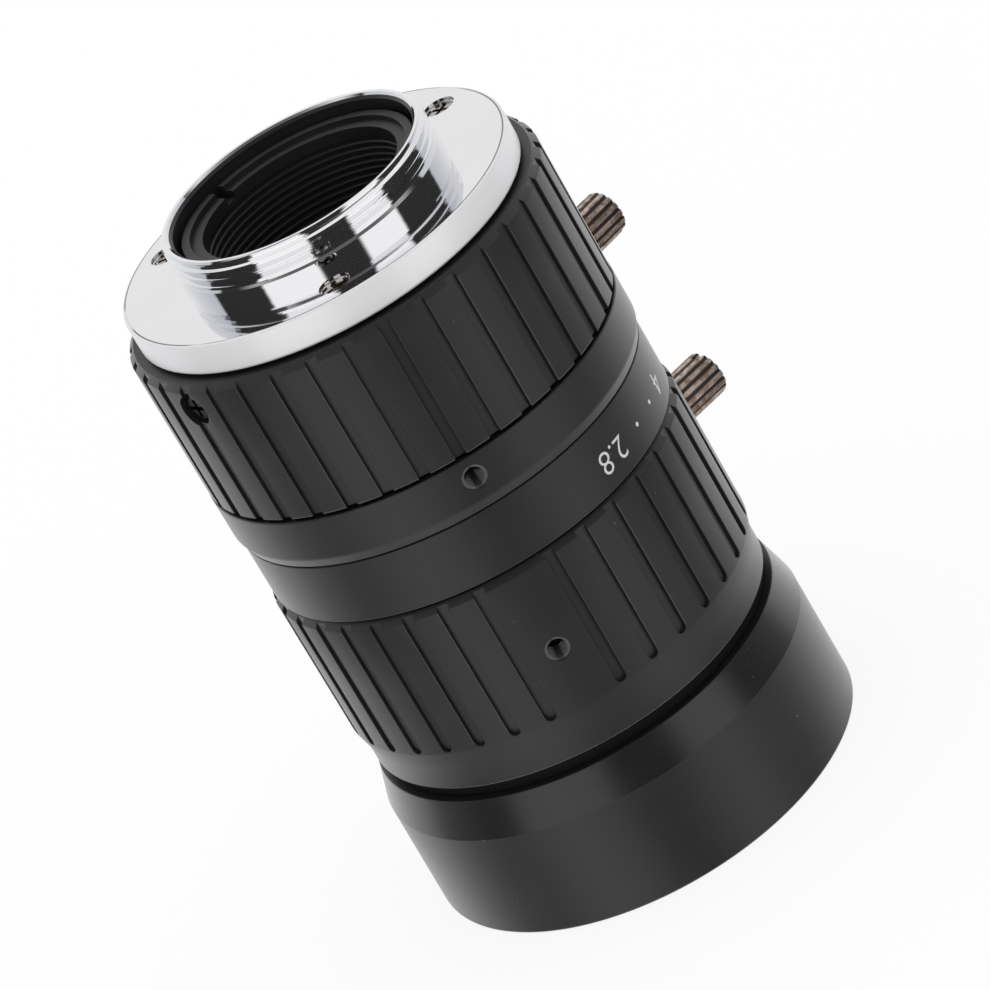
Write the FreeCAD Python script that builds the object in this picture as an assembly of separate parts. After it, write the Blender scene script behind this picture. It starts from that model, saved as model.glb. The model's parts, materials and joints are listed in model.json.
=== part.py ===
"""C-mount machine vision lens with focus ring, aperture ring, six-blade iris and hood.

Millimetres. +Z runs along the lens axis towards the camera, and the origin is the middle of the
hood's front rim, which the lens stands on. Levels are counted from the flange's seat, and each
piece is lifted by the seat's height when it is saved.
"""
import FreeCAD, Part
import math
import os

V = FreeCAD.Vector

# Camera mount and its flange
THREAD_R = 12.7            # crest of the mount thread
THREAD_LEN = 4.2           # from the seat to the tip
THREAD_TIP = 0.35          # tip chamfer
FLANGE_STEP = 1.4          # from the grip rings in to the rim of the flange
FLANGE_T = 3.0
FLANGE_EDGE = 0.3          # chamfers of the flange's two edges
NECK_WALL = 1.1            # from the thread in to the bore through the mount
BORE_MOUTH = 0.5           # chamfer at the mouth of the bore
SPIGOT_LEN = 1.1           # register that centres the flange in the barrel

# Flange screws
FLANGE_SCREWS = 3
FLANGE_SCREW_AZ = 25.0
FLANGE_SCREW_INSET = 3.0   # from the flange's rim in to the middle of the screws
FLANGE_SCREW_HEAD_R = 1.45
FLANGE_SCREW_R = 0.8
FLANGE_SCREW_LEN = 4.2
FLANGE_SCREW_SINK = 0.1    # heads lie this far below the seat
CROSS_W = 0.34             # arms of the cross recess
CROSS_REACH = 0.9          # from the middle of a recess to the end of an arm
CROSS_DEPTH = 0.5

# Running clearances between pieces that move on each other
FIT = 0.05                 # radial clearance of a turning or sliding fit
END_PLAY = 0.1             # axial clearance inside the mechanism
RING_GAP = 0.3             # gap at the ends of the outer rings
CREASE = 0.15              # gap between the fixed band and the scale band at rest
TIP_CLEAR = 0.35           # from a lock screw's tip to the surface it presses on
PIN_CLEAR = 0.1            # round a pin in its slot
LAYER_CLEAR = 0.08         # from the rotor to the first blade's layer
CUT_OVER = 1.0             # how far a cutter runs past the surface it opens

# Grip rings
GRIP_WALL = 2.25           # wall of the focus ring
GROOVES = 36
GROOVE_W = 1.1
GROOVE_DEPTH = 0.45
GRIP_CHAMFER = 0.65        # chamfer at the rear edge of each grip, radial
GRIP_CHAMFER_LEN = 0.6
GRIP_FRONT_EDGE = 0.12

FOCUS_LEN = 14.3
FOCUS_GROOVE_AZ = 1.3      # one groove lies at this azimuth
FOCUS_SCREW_AZ = 31.3
FOCUS_SCREW_POS = 2.5      # from the rear face of the focus ring
FOCUS_SCREWS = 2
FOCUS_SCREW_R = 1.0
FOCUS_SCREW_HEAD_R = 1.25
FOCUS_SCREW_HEAD_T = 0.8
FOCUS_CROSS_REACH = 0.82
FOCUS_RECESS_R = 1.6
FOCUS_RECESS_DEPTH = 1.25
FOCUS_SCREW_BITE = 0.9     # reach into the helicoid nut
FOCUS_TURN = 90.0          # degrees from stop to stop
FOCUS_TRAVEL = 4.0

IRIS_GRIP_LEN = 18.75
IRIS_GROOVE_LEN = 14.35    # from the rear face to the end of the grooves
IRIS_GROOVE_AZ = 27.8      # azimuth of the first plain pad
IRIS_FRONT_BAND = 0.15     # plain band between the grooves and the cone
IRIS_FRONT_CONE = 2.0      # cone from the rib diameter down to the rim
IRIS_RIM_DROP = 0.5
IRIS_WALL = 2.65           # wall of the aperture ring
IRIS_PADS = 3
IRIS_TAP_POS = 8.45        # lock screw holes, from the rear face of the ring

# Fixed barrel
SLEEVE_WALL = 1.5          # wall that the focus ring turns on
BUSH_WALL = 1.45           # wall of the guide bush
WEB_SHELF = 1.3            # reach of the rear web
WEB_T = 1.5
BAND_STAND = 0.05          # the plain band stands this far above the grips
BAND_LEN = 5.0
BAND_MOUTH = 0.95          # length of the cone at the front edge of the band
BAND_MOUTH_DROP = 0.35
BAND_REAR_EDGE = 0.15
BAND_TAP_POS = 1.95        # lock screw holes, from the rear edge of the band
TAPS = 3
BAND_TAP_AZ = 31.6
TAP_R = 1.1
TAP_SINK = 0.15            # countersink round each tapped hole
HELICOID_LEN = 11.9
KEY_R = 1.0
KEY_AZ = 91.6
KEY_BITE = 0.7             # depth of the keyway in the moving barrel

# Moving barrel
TUBE_WALL = 1.5
TUBE_RELIEF = 1.6          # from the web of the fixed barrel to the rear end of the tube
SCALE_DROP = 0.3           # the scale band lies this far below the grips
SCALE_LEN = 6.0
SCALE_EDGE = 0.12
CORE_WALL = 2.3            # wall that the aperture ring turns on
SHOULDER_RIM = 0.4         # the shoulder's bore stands back from the throat
SHOULDER_T = 1.5
SHOULDER_POS = 3.7         # from the front face of the scale band to the shoulder's front
NOSE_WALL = 1.3
NOSE_LEN = 3.7
STOP_RING_DROP = 1.1
STOP_RING_T = 1.0

# Rear optical group and stray-light tube
TUBE_END_GAP = 0.4         # from the bore of the mount to the stray-light tube
TUBE_END_WALL = 1.8
TUBE_END_POS = 2.9         # rear end of the stray-light tube, above the seat
TUBE_LIP_W = 0.8
TUBE_LIP_H = 0.5
GLASS_SEAT = 0.8           # width of the tube's seat on the outer glass
BAFFLE_THREAD_LEN = 3.0
BAFFLE_THREAD_STEP = 1.3
SPANNER_SLOT_W = 1.3
SPANNER_SLOT_DEPTH = 1.0
SPANNER_AZ = 125.0
REAR_CELL_LEN = 17.5
REAR_CELL_WALL = 3.0
REAR_GLASS_EDGE = 2.5
REAR_SPACER_LEN = 4.5
REAR_INNER_EDGE = 2.5
CELL_LIP = 1.5             # depth of the baffle tube's spigot in the rear cell
REAR_LEDGE_W = 1.2
REAR_THROAT_STEP = 0.8

# Front optical group
FRONT_CELL_LEN = 12.4
INNER_LEDGE_T = 2.8
INNER_LEDGE_W = 1.0
INNER_STEP = 2.8           # from the outer glass in to the inner glass
INNER_GLASS_EDGE = 3.0
FRONT_SPACER_LEN = 2.0
FRONT_SPACER_LAND = 0.6
FRONT_CELL_WALL = 2.6
FRONT_GLASS_EDGE = 2.4
RETAINER_LEN = 1.8
RETAINER_W = 1.2
SURFACE_R = 32.0           # radius of the lens surfaces

# Iris
BLADES = 6
BLADE_T = 0.12
BLADE_PITCH = 0.2          # from one blade's layer to the next
IRIS_OPEN_R = 5.0
BLADE_INSET = 1.1          # from the pivots in to the blades' outer edge
BLADE_SPAN = 112.0
PIVOT_INSET = 2.3          # from the rotor's edge in to the pivots
DRIVE_ANGLE = 14.0         # drive pin behind the pivot, as seen from the axis
PIN_R = 0.4
EAR_R = 0.75
BLADE_AZ = 12.0
IRIS_TURN = 45.0
BLADE_TURN = 22.0
PLATE_T = 1.0
PLATE_OPEN = 0.4           # bore of the plates beyond the open iris
HOUSING_WALL = 2.85
ROTOR_WEB = 3.2            # from the pivots in to the rotor's bore
ROTOR_T = 1.6
COVER_T = 1.25
DRIVE_PIN_R = 0.6
DRIVE_PIN_AZ = 152.0
DRIVE_PIN_BITE = 1.3       # reach into the rotor, and into the aperture ring

# Hood
HOOD_REAR_DROP = 0.3
HOOD_CONE_RISE = 1.02
HOOD_TAPER = 0.1           # from the shoulder to the front rim
HOOD_CONE_LEN = 3.6
HOOD_LEN = 14.35
HOOD_LIP_W = 2.1
HOOD_LIP_T = 1.0
HOOD_MOUTH_WALL = 1.59
HOOD_MOUTH_LEN = 2.2
HOOD_THROAT_WALL = 1.9     # wall of the hood just behind its mouth
HOOD_EDGE = 0.25

# Lock screws
LOCK_HEAD_R = 2.2
LOCK_HEAD_LEN = 6.1
LOCK_STAND = 0.65          # from the ring to the underside of the head
LOCK_KNURLS = 16
LOCK_KNURL_R = 0.22
LOCK_SLOT_W = 0.9
LOCK_SLOT_DEPTH = 1.0
LOCK_EDGE = 0.4
LOCK_FOOT = 0.2            # chamfer under the head
TAP_FIT = 0.05

# Levels along the axis, from the seat towards the front
Z_FLANGE = -FLANGE_T
Z_FOCUS_REAR = Z_FLANGE - RING_GAP
Z_FOCUS_FRONT = Z_FOCUS_REAR - FOCUS_LEN
Z_BAND_REAR = Z_FOCUS_FRONT - RING_GAP
Z_BAND_FRONT = Z_BAND_REAR - BAND_LEN
Z_SCALE_REAR = Z_BAND_FRONT - CREASE
Z_SCALE_FRONT = Z_SCALE_REAR - SCALE_LEN
Z_IRIS_REAR = Z_SCALE_FRONT - RING_GAP
Z_IRIS_FRONT = Z_IRIS_REAR - IRIS_GRIP_LEN
Z_STOP_REAR = Z_IRIS_FRONT - RING_GAP
Z_STOP_FRONT = Z_STOP_REAR - STOP_RING_T
Z_HOOD_FRONT = Z_STOP_FRONT - HOOD_LEN
Z_NOSE = Z_STOP_REAR - NOSE_LEN

Z_WEB = Z_FLANGE - WEB_T
Z_NUT_REAR = Z_WEB - END_PLAY
Z_NUT_FRONT = Z_NUT_REAR - HELICOID_LEN
Z_BUSH_REAR = Z_NUT_FRONT - END_PLAY
Z_TUBE_REAR = Z_FLANGE - TUBE_RELIEF
Z_BAND_TAP = Z_BAND_REAR - BAND_TAP_POS
Z_IRIS_TAP = Z_IRIS_REAR - IRIS_TAP_POS
Z_FOCUS_SCREW = Z_FOCUS_REAR - FOCUS_SCREW_POS

Z_SHOULDER = Z_SCALE_FRONT - SHOULDER_POS
Z_ROTOR_REAR = Z_SHOULDER - PLATE_T - FIT
Z_ROTOR_FRONT = Z_ROTOR_REAR - ROTOR_T
Z_BLADES = Z_ROTOR_FRONT - LAYER_CLEAR
Z_COVER_REAR = Z_BLADES - BLADES * BLADE_PITCH
Z_COVER_FRONT = Z_COVER_REAR - COVER_T
Z_DRIVE_PIN = Z_ROTOR_REAR - ROTOR_T / 2

Z_CELL_FRONT = Z_SHOULDER + SHOULDER_T
Z_CELL_REAR = Z_CELL_FRONT + REAR_CELL_LEN
Z_REAR_GLASS = Z_CELL_REAR - CELL_LIP
Z_REAR_SPACER = Z_REAR_GLASS - REAR_GLASS_EDGE
Z_REAR_INNER = Z_REAR_SPACER - REAR_SPACER_LEN
Z_REAR_LEDGE = Z_REAR_INNER - REAR_INNER_EDGE

Z_INNER_GLASS = Z_COVER_FRONT - INNER_LEDGE_T
Z_FRONT_SPACER = Z_INNER_GLASS - INNER_GLASS_EDGE
Z_FRONT_GLASS = Z_FRONT_SPACER - FRONT_SPACER_LEN
Z_RETAINER = Z_FRONT_GLASS - FRONT_GLASS_EDGE

# Radii, from the mount thread outwards to the hood
BORE_R = THREAD_R - NECK_WALL
TUBE_END_R = BORE_R - TUBE_END_GAP
BAFFLE_BORE_R = TUBE_END_R - TUBE_END_WALL
REAR_GLASS_R = BAFFLE_BORE_R + GLASS_SEAT
REAR_LEDGE_R = REAR_GLASS_R - REAR_LEDGE_W
REAR_THROAT_R = REAR_LEDGE_R - REAR_THROAT_STEP
SHOULDER_R = REAR_THROAT_R + SHOULDER_RIM
TUBE_BORE_R = REAR_GLASS_R + REAR_CELL_WALL
BAFFLE_WAIST_R = TUBE_BORE_R - BAFFLE_THREAD_STEP
TUBE_R = TUBE_BORE_R + TUBE_WALL
GUIDE_R = TUBE_R + FIT
BUSH_R = GUIDE_R + BUSH_WALL
NUT_R = BUSH_R - FIT
WEB_R = BUSH_R - WEB_SHELF
SLEEVE_R = BUSH_R + SLEEVE_WALL
GRIP_BORE_R = SLEEVE_R + FIT
GRIP_R = GRIP_BORE_R + GRIP_WALL
FLANGE_R = GRIP_R - FLANGE_STEP
FLANGE_SCREW_CIRCLE_R = FLANGE_R - FLANGE_SCREW_INSET
BAND_R = GRIP_R + BAND_STAND
SCALE_R = GRIP_R - SCALE_DROP
IRIS_RIM_R = GRIP_R - IRIS_RIM_DROP
IRIS_BORE_R = GRIP_R - IRIS_WALL
CORE_R = IRIS_BORE_R - FIT
FRONT_BORE_R = CORE_R - CORE_WALL
NOSE_R = FRONT_BORE_R + NOSE_WALL
STOP_RING_R = GRIP_R - STOP_RING_DROP
ROTOR_R = FRONT_BORE_R - HOUSING_WALL - FIT
PIVOT_R = ROTOR_R - PIVOT_INSET
ROTOR_BORE_R = PIVOT_R - ROTOR_WEB
BLADE_OUT_R = PIVOT_R - BLADE_INSET
PLATE_BORE_R = IRIS_OPEN_R + PLATE_OPEN
FRONT_GLASS_R = FRONT_BORE_R - FRONT_CELL_WALL
RETAINER_BORE_R = FRONT_GLASS_R - RETAINER_W
INNER_GLASS_R = FRONT_GLASS_R - INNER_STEP
INNER_LEDGE_R = INNER_GLASS_R - INNER_LEDGE_W
FRONT_SPACER_R = INNER_GLASS_R - FRONT_SPACER_LAND
HOOD_REAR_R = GRIP_R - HOOD_REAR_DROP
HOOD_SHOULDER_R = HOOD_REAR_R + HOOD_CONE_RISE
HOOD_R = HOOD_SHOULDER_R + HOOD_TAPER
HOOD_MOUTH_R = HOOD_R - HOOD_MOUTH_WALL
HOOD_LIP_R = NOSE_R - HOOD_LIP_W


def polar(radius, azimuth, z=0.0):
    a = math.radians(azimuth)
    return V(radius * math.cos(a), radius * math.sin(a), z)


def unit(v):
    return V(v).normalize()


def profile(points):
    """Closed face in the XZ plane; a third number on a point chamfers that corner."""
    corners = [V(p[0], 0, p[1]) for p in points]
    outline = []
    for i, here in enumerate(corners):
        if len(points[i]) < 3:
            outline.append(here)
            continue
        ahead = corners[(i + 1) % len(corners)]
        outline.append(here + unit(corners[i - 1] - here) * points[i][2])
        outline.append(here + unit(ahead - here) * points[i][2])
    outline.append(outline[0])
    return Part.Face(Part.makePolygon(outline))


def turned(points):
    return profile(points).revolve(V(0, 0, 0), V(0, 0, 1), 360)


def radial_rod(radius, r_from, r_to, azimuth, z):
    out = polar(1.0, azimuth)
    return Part.makeCylinder(radius, r_to - r_from, polar(r_from, azimuth, z), out)


def at_azimuth(shape, azimuth):
    copy = shape.copy()
    copy.rotate(V(0, 0, 0), V(0, 0, 1), azimuth)
    return copy


def ring_of(shape, count, first):
    return [at_azimuth(shape, first + i * 360.0 / count) for i in range(count)]


def sector_rod(radius, r_from, r_to, az_from, az_to, z):
    """Circumferential slot for a radial pin that swings between two azimuths."""
    low = z - radius
    ring = Part.makeCylinder(r_to, 2 * radius, V(0, 0, low))
    ring = ring.cut(Part.makeCylinder(r_from, 2 * radius, V(0, 0, low)))
    span = az_to - az_from
    reach = r_to * 2.5
    corners = [V(0, 0, low)]
    steps = max(2, math.ceil(span / 60.0))
    for i in range(steps + 1):
        corners.append(polar(reach, az_from + span * i / steps, low))
    corners.append(corners[0])
    wedge = Part.Face(Part.makePolygon(corners)).extrude(V(0, 0, 2 * radius))
    slot = ring.common(wedge)
    for azimuth in (az_from, az_to):
        slot = slot.fuse(radial_rod(radius, r_from, r_to, azimuth, z))
    return slot


def cross_recess(reach):
    a = Part.makeBox(2 * reach, CROSS_W, CROSS_DEPTH * 2, V(-reach, -CROSS_W / 2, -CROSS_DEPTH))
    b = Part.makeBox(CROSS_W, 2 * reach, CROSS_DEPTH * 2, V(-CROSS_W / 2, -reach, -CROSS_DEPTH))
    return a.fuse(b)


def outward(shape, radius, azimuth, z):
    """Place a shape built along +Z so that its +Z points away from the lens axis."""
    copy = shape.copy()
    copy.rotate(V(0, 0, 0), V(0, 1, 0), 90)
    copy.translate(V(radius, 0, z))
    copy.rotate(V(0, 0, 0), V(0, 0, 1), azimuth)
    return copy


def countersunk_screw():
    """Plain countersunk screw, with its head just below the seat."""
    top = -FLANGE_SCREW_SINK
    return turned([
        (0, top), (FLANGE_SCREW_HEAD_R, top),
        (FLANGE_SCREW_R, top - (FLANGE_SCREW_HEAD_R - FLANGE_SCREW_R)),
        (FLANGE_SCREW_R, top - FLANGE_SCREW_LEN), (0, top - FLANGE_SCREW_LEN),
    ])


def countersunk_hole():
    mouth = Part.makeCylinder(FLANGE_SCREW_HEAD_R, FLANGE_SCREW_SINK + CUT_OVER, V(0, 0, -FLANGE_SCREW_SINK))
    return countersunk_screw().fuse(mouth)


def flange_screw_places(shape):
    moved = shape.copy()
    moved.translate(V(FLANGE_SCREW_CIRCLE_R, 0, 0))
    return ring_of(moved, FLANGE_SCREWS, FLANGE_SCREW_AZ)


def c_mount_flange():
    body = turned([
        (BORE_R, Z_FLANGE - SPIGOT_LEN), (WEB_R, Z_FLANGE - SPIGOT_LEN), (WEB_R, Z_FLANGE),
        (FLANGE_R, Z_FLANGE, FLANGE_EDGE), (FLANGE_R, 0, FLANGE_EDGE),
        (THREAD_R, 0), (THREAD_R, THREAD_LEN - THREAD_TIP), (THREAD_R - THREAD_TIP, THREAD_LEN),
        (BORE_R + BORE_MOUTH, THREAD_LEN), (BORE_R, THREAD_LEN - BORE_MOUTH),
    ])
    for hole in flange_screw_places(countersunk_hole()):
        body = body.cut(hole)
    return body


def flange_screws():
    recess = cross_recess(CROSS_REACH)
    recess.translate(V(0, 0, -FLANGE_SCREW_SINK))
    screw = countersunk_screw().cut(recess)
    return Part.makeCompound(flange_screw_places(screw))


def tapped(radius_out, z, azimuth, inner):
    """Cutter for one tapped hole with a small countersink at the surface."""
    hole = radial_rod(TAP_R, inner, radius_out + CUT_OVER, azimuth, z)
    height = TAP_SINK + CUT_OVER
    cone = Part.makeCone(TAP_R, TAP_R + height, height,
                         polar(radius_out - TAP_SINK, azimuth, z), polar(1.0, azimuth))
    return hole.fuse(cone)


def rear_barrel():
    body = turned([
        (WEB_R, Z_FLANGE), (SLEEVE_R, Z_FLANGE), (SLEEVE_R, Z_BAND_REAR),
        (BAND_R, Z_BAND_REAR, BAND_REAR_EDGE), (BAND_R, Z_BAND_FRONT + BAND_MOUTH),
        (BAND_R - BAND_MOUTH_DROP, Z_BAND_FRONT), (BUSH_R, Z_BAND_FRONT),
        (BUSH_R, Z_WEB), (WEB_R, Z_WEB),
    ])
    for hole in flange_screw_places(countersunk_screw()):
        body = body.cut(hole)
    margin = math.degrees(PIN_CLEAR / BUSH_R)
    for i in range(FOCUS_SCREWS):
        start = FOCUS_SCREW_AZ + i * 360.0 / FOCUS_SCREWS
        slot = sector_rod(FOCUS_SCREW_R + PIN_CLEAR, BUSH_R - CUT_OVER, SLEEVE_R + CUT_OVER,
                          start - margin, start + FOCUS_TURN + margin, Z_FOCUS_SCREW)
        body = body.cut(slot)
    for i in range(TAPS):
        azimuth = BAND_TAP_AZ + i * 360.0 / TAPS
        body = body.cut(tapped(BAND_R, Z_BAND_TAP, azimuth, BUSH_R - CUT_OVER))
    return body


def guide_bush():
    body = turned([
        (GUIDE_R, Z_BAND_FRONT), (BUSH_R, Z_BAND_FRONT), (BUSH_R, Z_BUSH_REAR), (GUIDE_R, Z_BUSH_REAR),
    ])
    for i in range(TAPS):
        azimuth = BAND_TAP_AZ + i * 360.0 / TAPS
        body = body.cut(radial_rod(TAP_R, GUIDE_R - CUT_OVER, BUSH_R + CUT_OVER, azimuth, Z_BAND_TAP))
    return body.cut(radial_rod(KEY_R, GUIDE_R - CUT_OVER, BUSH_R + CUT_OVER, KEY_AZ, Z_BAND_TAP))


def focus_key():
    tip = TUBE_R - KEY_BITE + 2 * FIT
    return radial_rod(KEY_R, tip, BUSH_R - FIT, KEY_AZ, Z_BAND_TAP)


def groove_cutter(z_rear, z_end, round_end):
    depth = GROOVE_DEPTH + CUT_OVER
    length = z_rear - z_end
    if round_end:
        length -= GROOVE_W / 2
    low = z_rear - length
    cutter = Part.makeBox(depth, GROOVE_W, length + CUT_OVER, V(GRIP_R - GROOVE_DEPTH, -GROOVE_W / 2, low))
    if round_end:
        end = Part.makeCylinder(GROOVE_W / 2, depth, V(GRIP_R - GROOVE_DEPTH, 0, low), V(1, 0, 0))
        cutter = cutter.fuse(end)
    return cutter


def focus_grip():
    body = turned([
        (GRIP_BORE_R, Z_FOCUS_REAR), (GRIP_R - GRIP_CHAMFER, Z_FOCUS_REAR),
        (GRIP_R, Z_FOCUS_REAR - GRIP_CHAMFER_LEN), (GRIP_R, Z_FOCUS_FRONT + GRIP_FRONT_EDGE),
        (GRIP_R - GRIP_FRONT_EDGE, Z_FOCUS_FRONT), (GRIP_BORE_R, Z_FOCUS_FRONT),
    ])
    cutter = groove_cutter(Z_FOCUS_REAR, Z_FOCUS_FRONT - CUT_OVER, False)
    body = body.cut(Part.makeCompound(ring_of(cutter, GROOVES, FOCUS_GROOVE_AZ)))
    for i in range(FOCUS_SCREWS):
        azimuth = FOCUS_SCREW_AZ + i * 360.0 / FOCUS_SCREWS
        floor = GRIP_R - FOCUS_RECESS_DEPTH
        body = body.cut(radial_rod(FOCUS_RECESS_R, floor, GRIP_R + CUT_OVER, azimuth, Z_FOCUS_SCREW))
        body = body.cut(radial_rod(FOCUS_SCREW_R, GRIP_BORE_R - CUT_OVER, GRIP_R, azimuth, Z_FOCUS_SCREW))
    return body


def focus_screws():
    floor = GRIP_R - FOCUS_RECESS_DEPTH
    inner = NUT_R - FOCUS_SCREW_BITE
    screw = Part.makeCylinder(FOCUS_SCREW_R, floor - inner, V(0, 0, inner - floor))
    screw = screw.fuse(Part.makeCylinder(FOCUS_SCREW_HEAD_R, FOCUS_SCREW_HEAD_T))
    recess = cross_recess(FOCUS_CROSS_REACH)
    recess.translate(V(0, 0, FOCUS_SCREW_HEAD_T))
    screw = screw.cut(recess).removeSplitter()
    placed = []
    for i in range(FOCUS_SCREWS):
        placed.append(outward(screw, floor, FOCUS_SCREW_AZ + i * 360.0 / FOCUS_SCREWS, Z_FOCUS_SCREW))
    return Part.makeCompound(placed)


def helicoid_nut():
    body = turned([
        (GUIDE_R, Z_NUT_FRONT), (NUT_R, Z_NUT_FRONT), (NUT_R, Z_NUT_REAR), (GUIDE_R, Z_NUT_REAR),
    ])
    for i in range(FOCUS_SCREWS):
        azimuth = FOCUS_SCREW_AZ + i * 360.0 / FOCUS_SCREWS
        inner = NUT_R - FOCUS_SCREW_BITE
        body = body.cut(radial_rod(FOCUS_SCREW_R, inner, NUT_R + CUT_OVER, azimuth, Z_FOCUS_SCREW))
    return body


def front_barrel():
    body = turned([
        (TUBE_BORE_R, Z_TUBE_REAR), (TUBE_R, Z_TUBE_REAR), (TUBE_R, Z_SCALE_REAR),
        (SCALE_R, Z_SCALE_REAR, SCALE_EDGE), (SCALE_R, Z_SCALE_FRONT, SCALE_EDGE),
        (CORE_R, Z_SCALE_FRONT), (CORE_R, Z_STOP_REAR), (NOSE_R, Z_STOP_REAR), (NOSE_R, Z_NOSE),
        (FRONT_BORE_R, Z_NOSE), (FRONT_BORE_R, Z_SHOULDER), (SHOULDER_R, Z_SHOULDER),
        (SHOULDER_R, Z_CELL_FRONT), (TUBE_BORE_R, Z_CELL_FRONT),
    ])
    key_top = Z_BAND_TAP + FOCUS_TRAVEL + KEY_R + PIN_CLEAR
    key_low = Z_BAND_TAP - KEY_R - PIN_CLEAR
    width = 2 * (KEY_R + FIT)
    keyway = Part.makeBox(KEY_BITE + CUT_OVER, width, key_top - key_low,
                          V(TUBE_R - KEY_BITE, -width / 2, key_low))
    body = body.cut(at_azimuth(keyway, KEY_AZ))
    return body.cut(drive_slot(FRONT_BORE_R - CUT_OVER, CORE_R + CUT_OVER))


def drive_slot(r_from, r_to):
    margin = math.degrees(PIN_CLEAR / FRONT_BORE_R)
    return sector_rod(DRIVE_PIN_R + PIN_CLEAR, r_from, r_to,
                      DRIVE_PIN_AZ - margin, DRIVE_PIN_AZ + IRIS_TURN + margin, Z_DRIVE_PIN)


def spanner_slots(r_from, r_to, z_low, height):
    slot = Part.makeBox(r_to - r_from, SPANNER_SLOT_W, height, V(r_from, -SPANNER_SLOT_W / 2, z_low))
    return Part.makeCompound(ring_of(slot, 2, SPANNER_AZ))


def baffle_tube():
    thread_rear = Z_TUBE_REAR
    thread_front = thread_rear - BAFFLE_THREAD_LEN
    body = turned([
        (BAFFLE_BORE_R, TUBE_END_POS - TUBE_LIP_H), (TUBE_END_R - TUBE_LIP_W, TUBE_END_POS - TUBE_LIP_H),
        (TUBE_END_R - TUBE_LIP_W, TUBE_END_POS), (TUBE_END_R, TUBE_END_POS),
        (TUBE_END_R, thread_rear), (TUBE_BORE_R, thread_rear), (TUBE_BORE_R, thread_front),
        (BAFFLE_WAIST_R, thread_front), (BAFFLE_WAIST_R, Z_CELL_REAR), (REAR_GLASS_R, Z_CELL_REAR),
        (REAR_GLASS_R, Z_REAR_GLASS), (BAFFLE_BORE_R, Z_REAR_GLASS),
    ])
    floor = TUBE_END_POS - TUBE_LIP_H - SPANNER_SLOT_DEPTH
    height = SPANNER_SLOT_DEPTH + TUBE_LIP_H + CUT_OVER
    return body.cut(spanner_slots(BAFFLE_BORE_R - CUT_OVER, TUBE_END_R + CUT_OVER, floor, height))


def rear_cell():
    return turned([
        (REAR_GLASS_R, Z_CELL_REAR), (TUBE_BORE_R, Z_CELL_REAR), (TUBE_BORE_R, Z_CELL_FRONT),
        (REAR_THROAT_R, Z_CELL_FRONT), (REAR_LEDGE_R, Z_REAR_LEDGE), (REAR_GLASS_R, Z_REAR_LEDGE),
    ])


def glass(radius, clear, z_rear, z_front, rear_bulge, front_bulge):
    """Element with flat seats outside its clear radius; a positive bulge is convex."""
    half = clear / 2
    full_sag = SURFACE_R - math.sqrt(SURFACE_R ** 2 - clear ** 2)
    part_sag = SURFACE_R - math.sqrt(SURFACE_R ** 2 - half ** 2)
    surfaces = []
    for z, bulge in ((z_rear, rear_bulge), (z_front, -front_bulge)):
        middle = V(0, 0, z + bulge * full_sag)
        edge = V(clear, 0, z)
        if bulge:
            between = V(half, 0, z + bulge * (full_sag - part_sag))
            surfaces.append(Part.Arc(middle, between, edge).toShape())
        else:
            surfaces.append(Part.makeLine(middle, edge))
    outline = [V(clear, 0, z_rear), V(radius, 0, z_rear), V(radius, 0, z_front), V(clear, 0, z_front)]
    axis = [V(0, 0, z_front - front_bulge * full_sag), V(0, 0, z_rear + rear_bulge * full_sag)]
    edges = surfaces + [Part.makePolygon(outline), Part.makeLine(axis[0], axis[1])]
    pieces = [e for shape in edges for e in shape.Edges]
    return Part.Face(Part.Wire(Part.__sortEdges__(pieces))).revolve(V(0, 0, 0), V(0, 0, 1), 360)


def rear_spacer():
    return turned([
        (REAR_LEDGE_R, Z_REAR_INNER), (REAR_GLASS_R, Z_REAR_INNER),
        (REAR_GLASS_R, Z_REAR_SPACER), (REAR_LEDGE_R, Z_REAR_SPACER),
    ])


def iris_housing():
    body = turned([
        (PLATE_BORE_R, Z_SHOULDER), (FRONT_BORE_R, Z_SHOULDER), (FRONT_BORE_R, Z_COVER_REAR),
        (ROTOR_R + FIT, Z_COVER_REAR), (ROTOR_R + FIT, Z_SHOULDER - PLATE_T),
        (PLATE_BORE_R, Z_SHOULDER - PLATE_T),
    ])
    return body.cut(drive_slot(ROTOR_R - CUT_OVER, FRONT_BORE_R + CUT_OVER))


def pivot_point(k):
    return polar(PIVOT_R, BLADE_AZ + k * 360.0 / BLADES)


def drive_point(k, turn):
    """Centre of blade k's drive pin once the aperture ring has turned by an angle."""
    pivot = pivot_point(k)
    rest = polar(PIVOT_R, BLADE_AZ + k * 360.0 / BLADES - DRIVE_ANGLE)
    a = math.radians(turn * BLADE_TURN / IRIS_TURN)
    d = rest - pivot
    return pivot + V(d.x * math.cos(a) - d.y * math.sin(a), d.x * math.sin(a) + d.y * math.cos(a), 0)


def iris_rotor():
    body = turned([
        (ROTOR_BORE_R, Z_ROTOR_FRONT), (ROTOR_R, Z_ROTOR_FRONT),
        (ROTOR_R, Z_ROTOR_REAR), (ROTOR_BORE_R, Z_ROTOR_REAR),
    ])
    half = PIN_R + FIT
    for k in range(BLADES):
        path = []
        for turn in (0.0, IRIS_TURN / 2, IRIS_TURN):
            p = drive_point(k, turn)
            a = math.radians(-turn)
            path.append(V(p.x * math.cos(a) - p.y * math.sin(a), p.x * math.sin(a) + p.y * math.cos(a), 0))
        body = body.cut(arc_slot(path, half, Z_ROTOR_FRONT - CUT_OVER, ROTOR_T + 2 * CUT_OVER))
    notch = radial_rod(DRIVE_PIN_R, ROTOR_R - DRIVE_PIN_BITE, ROTOR_R + CUT_OVER, DRIVE_PIN_AZ, Z_DRIVE_PIN)
    return body.cut(notch)


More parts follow.
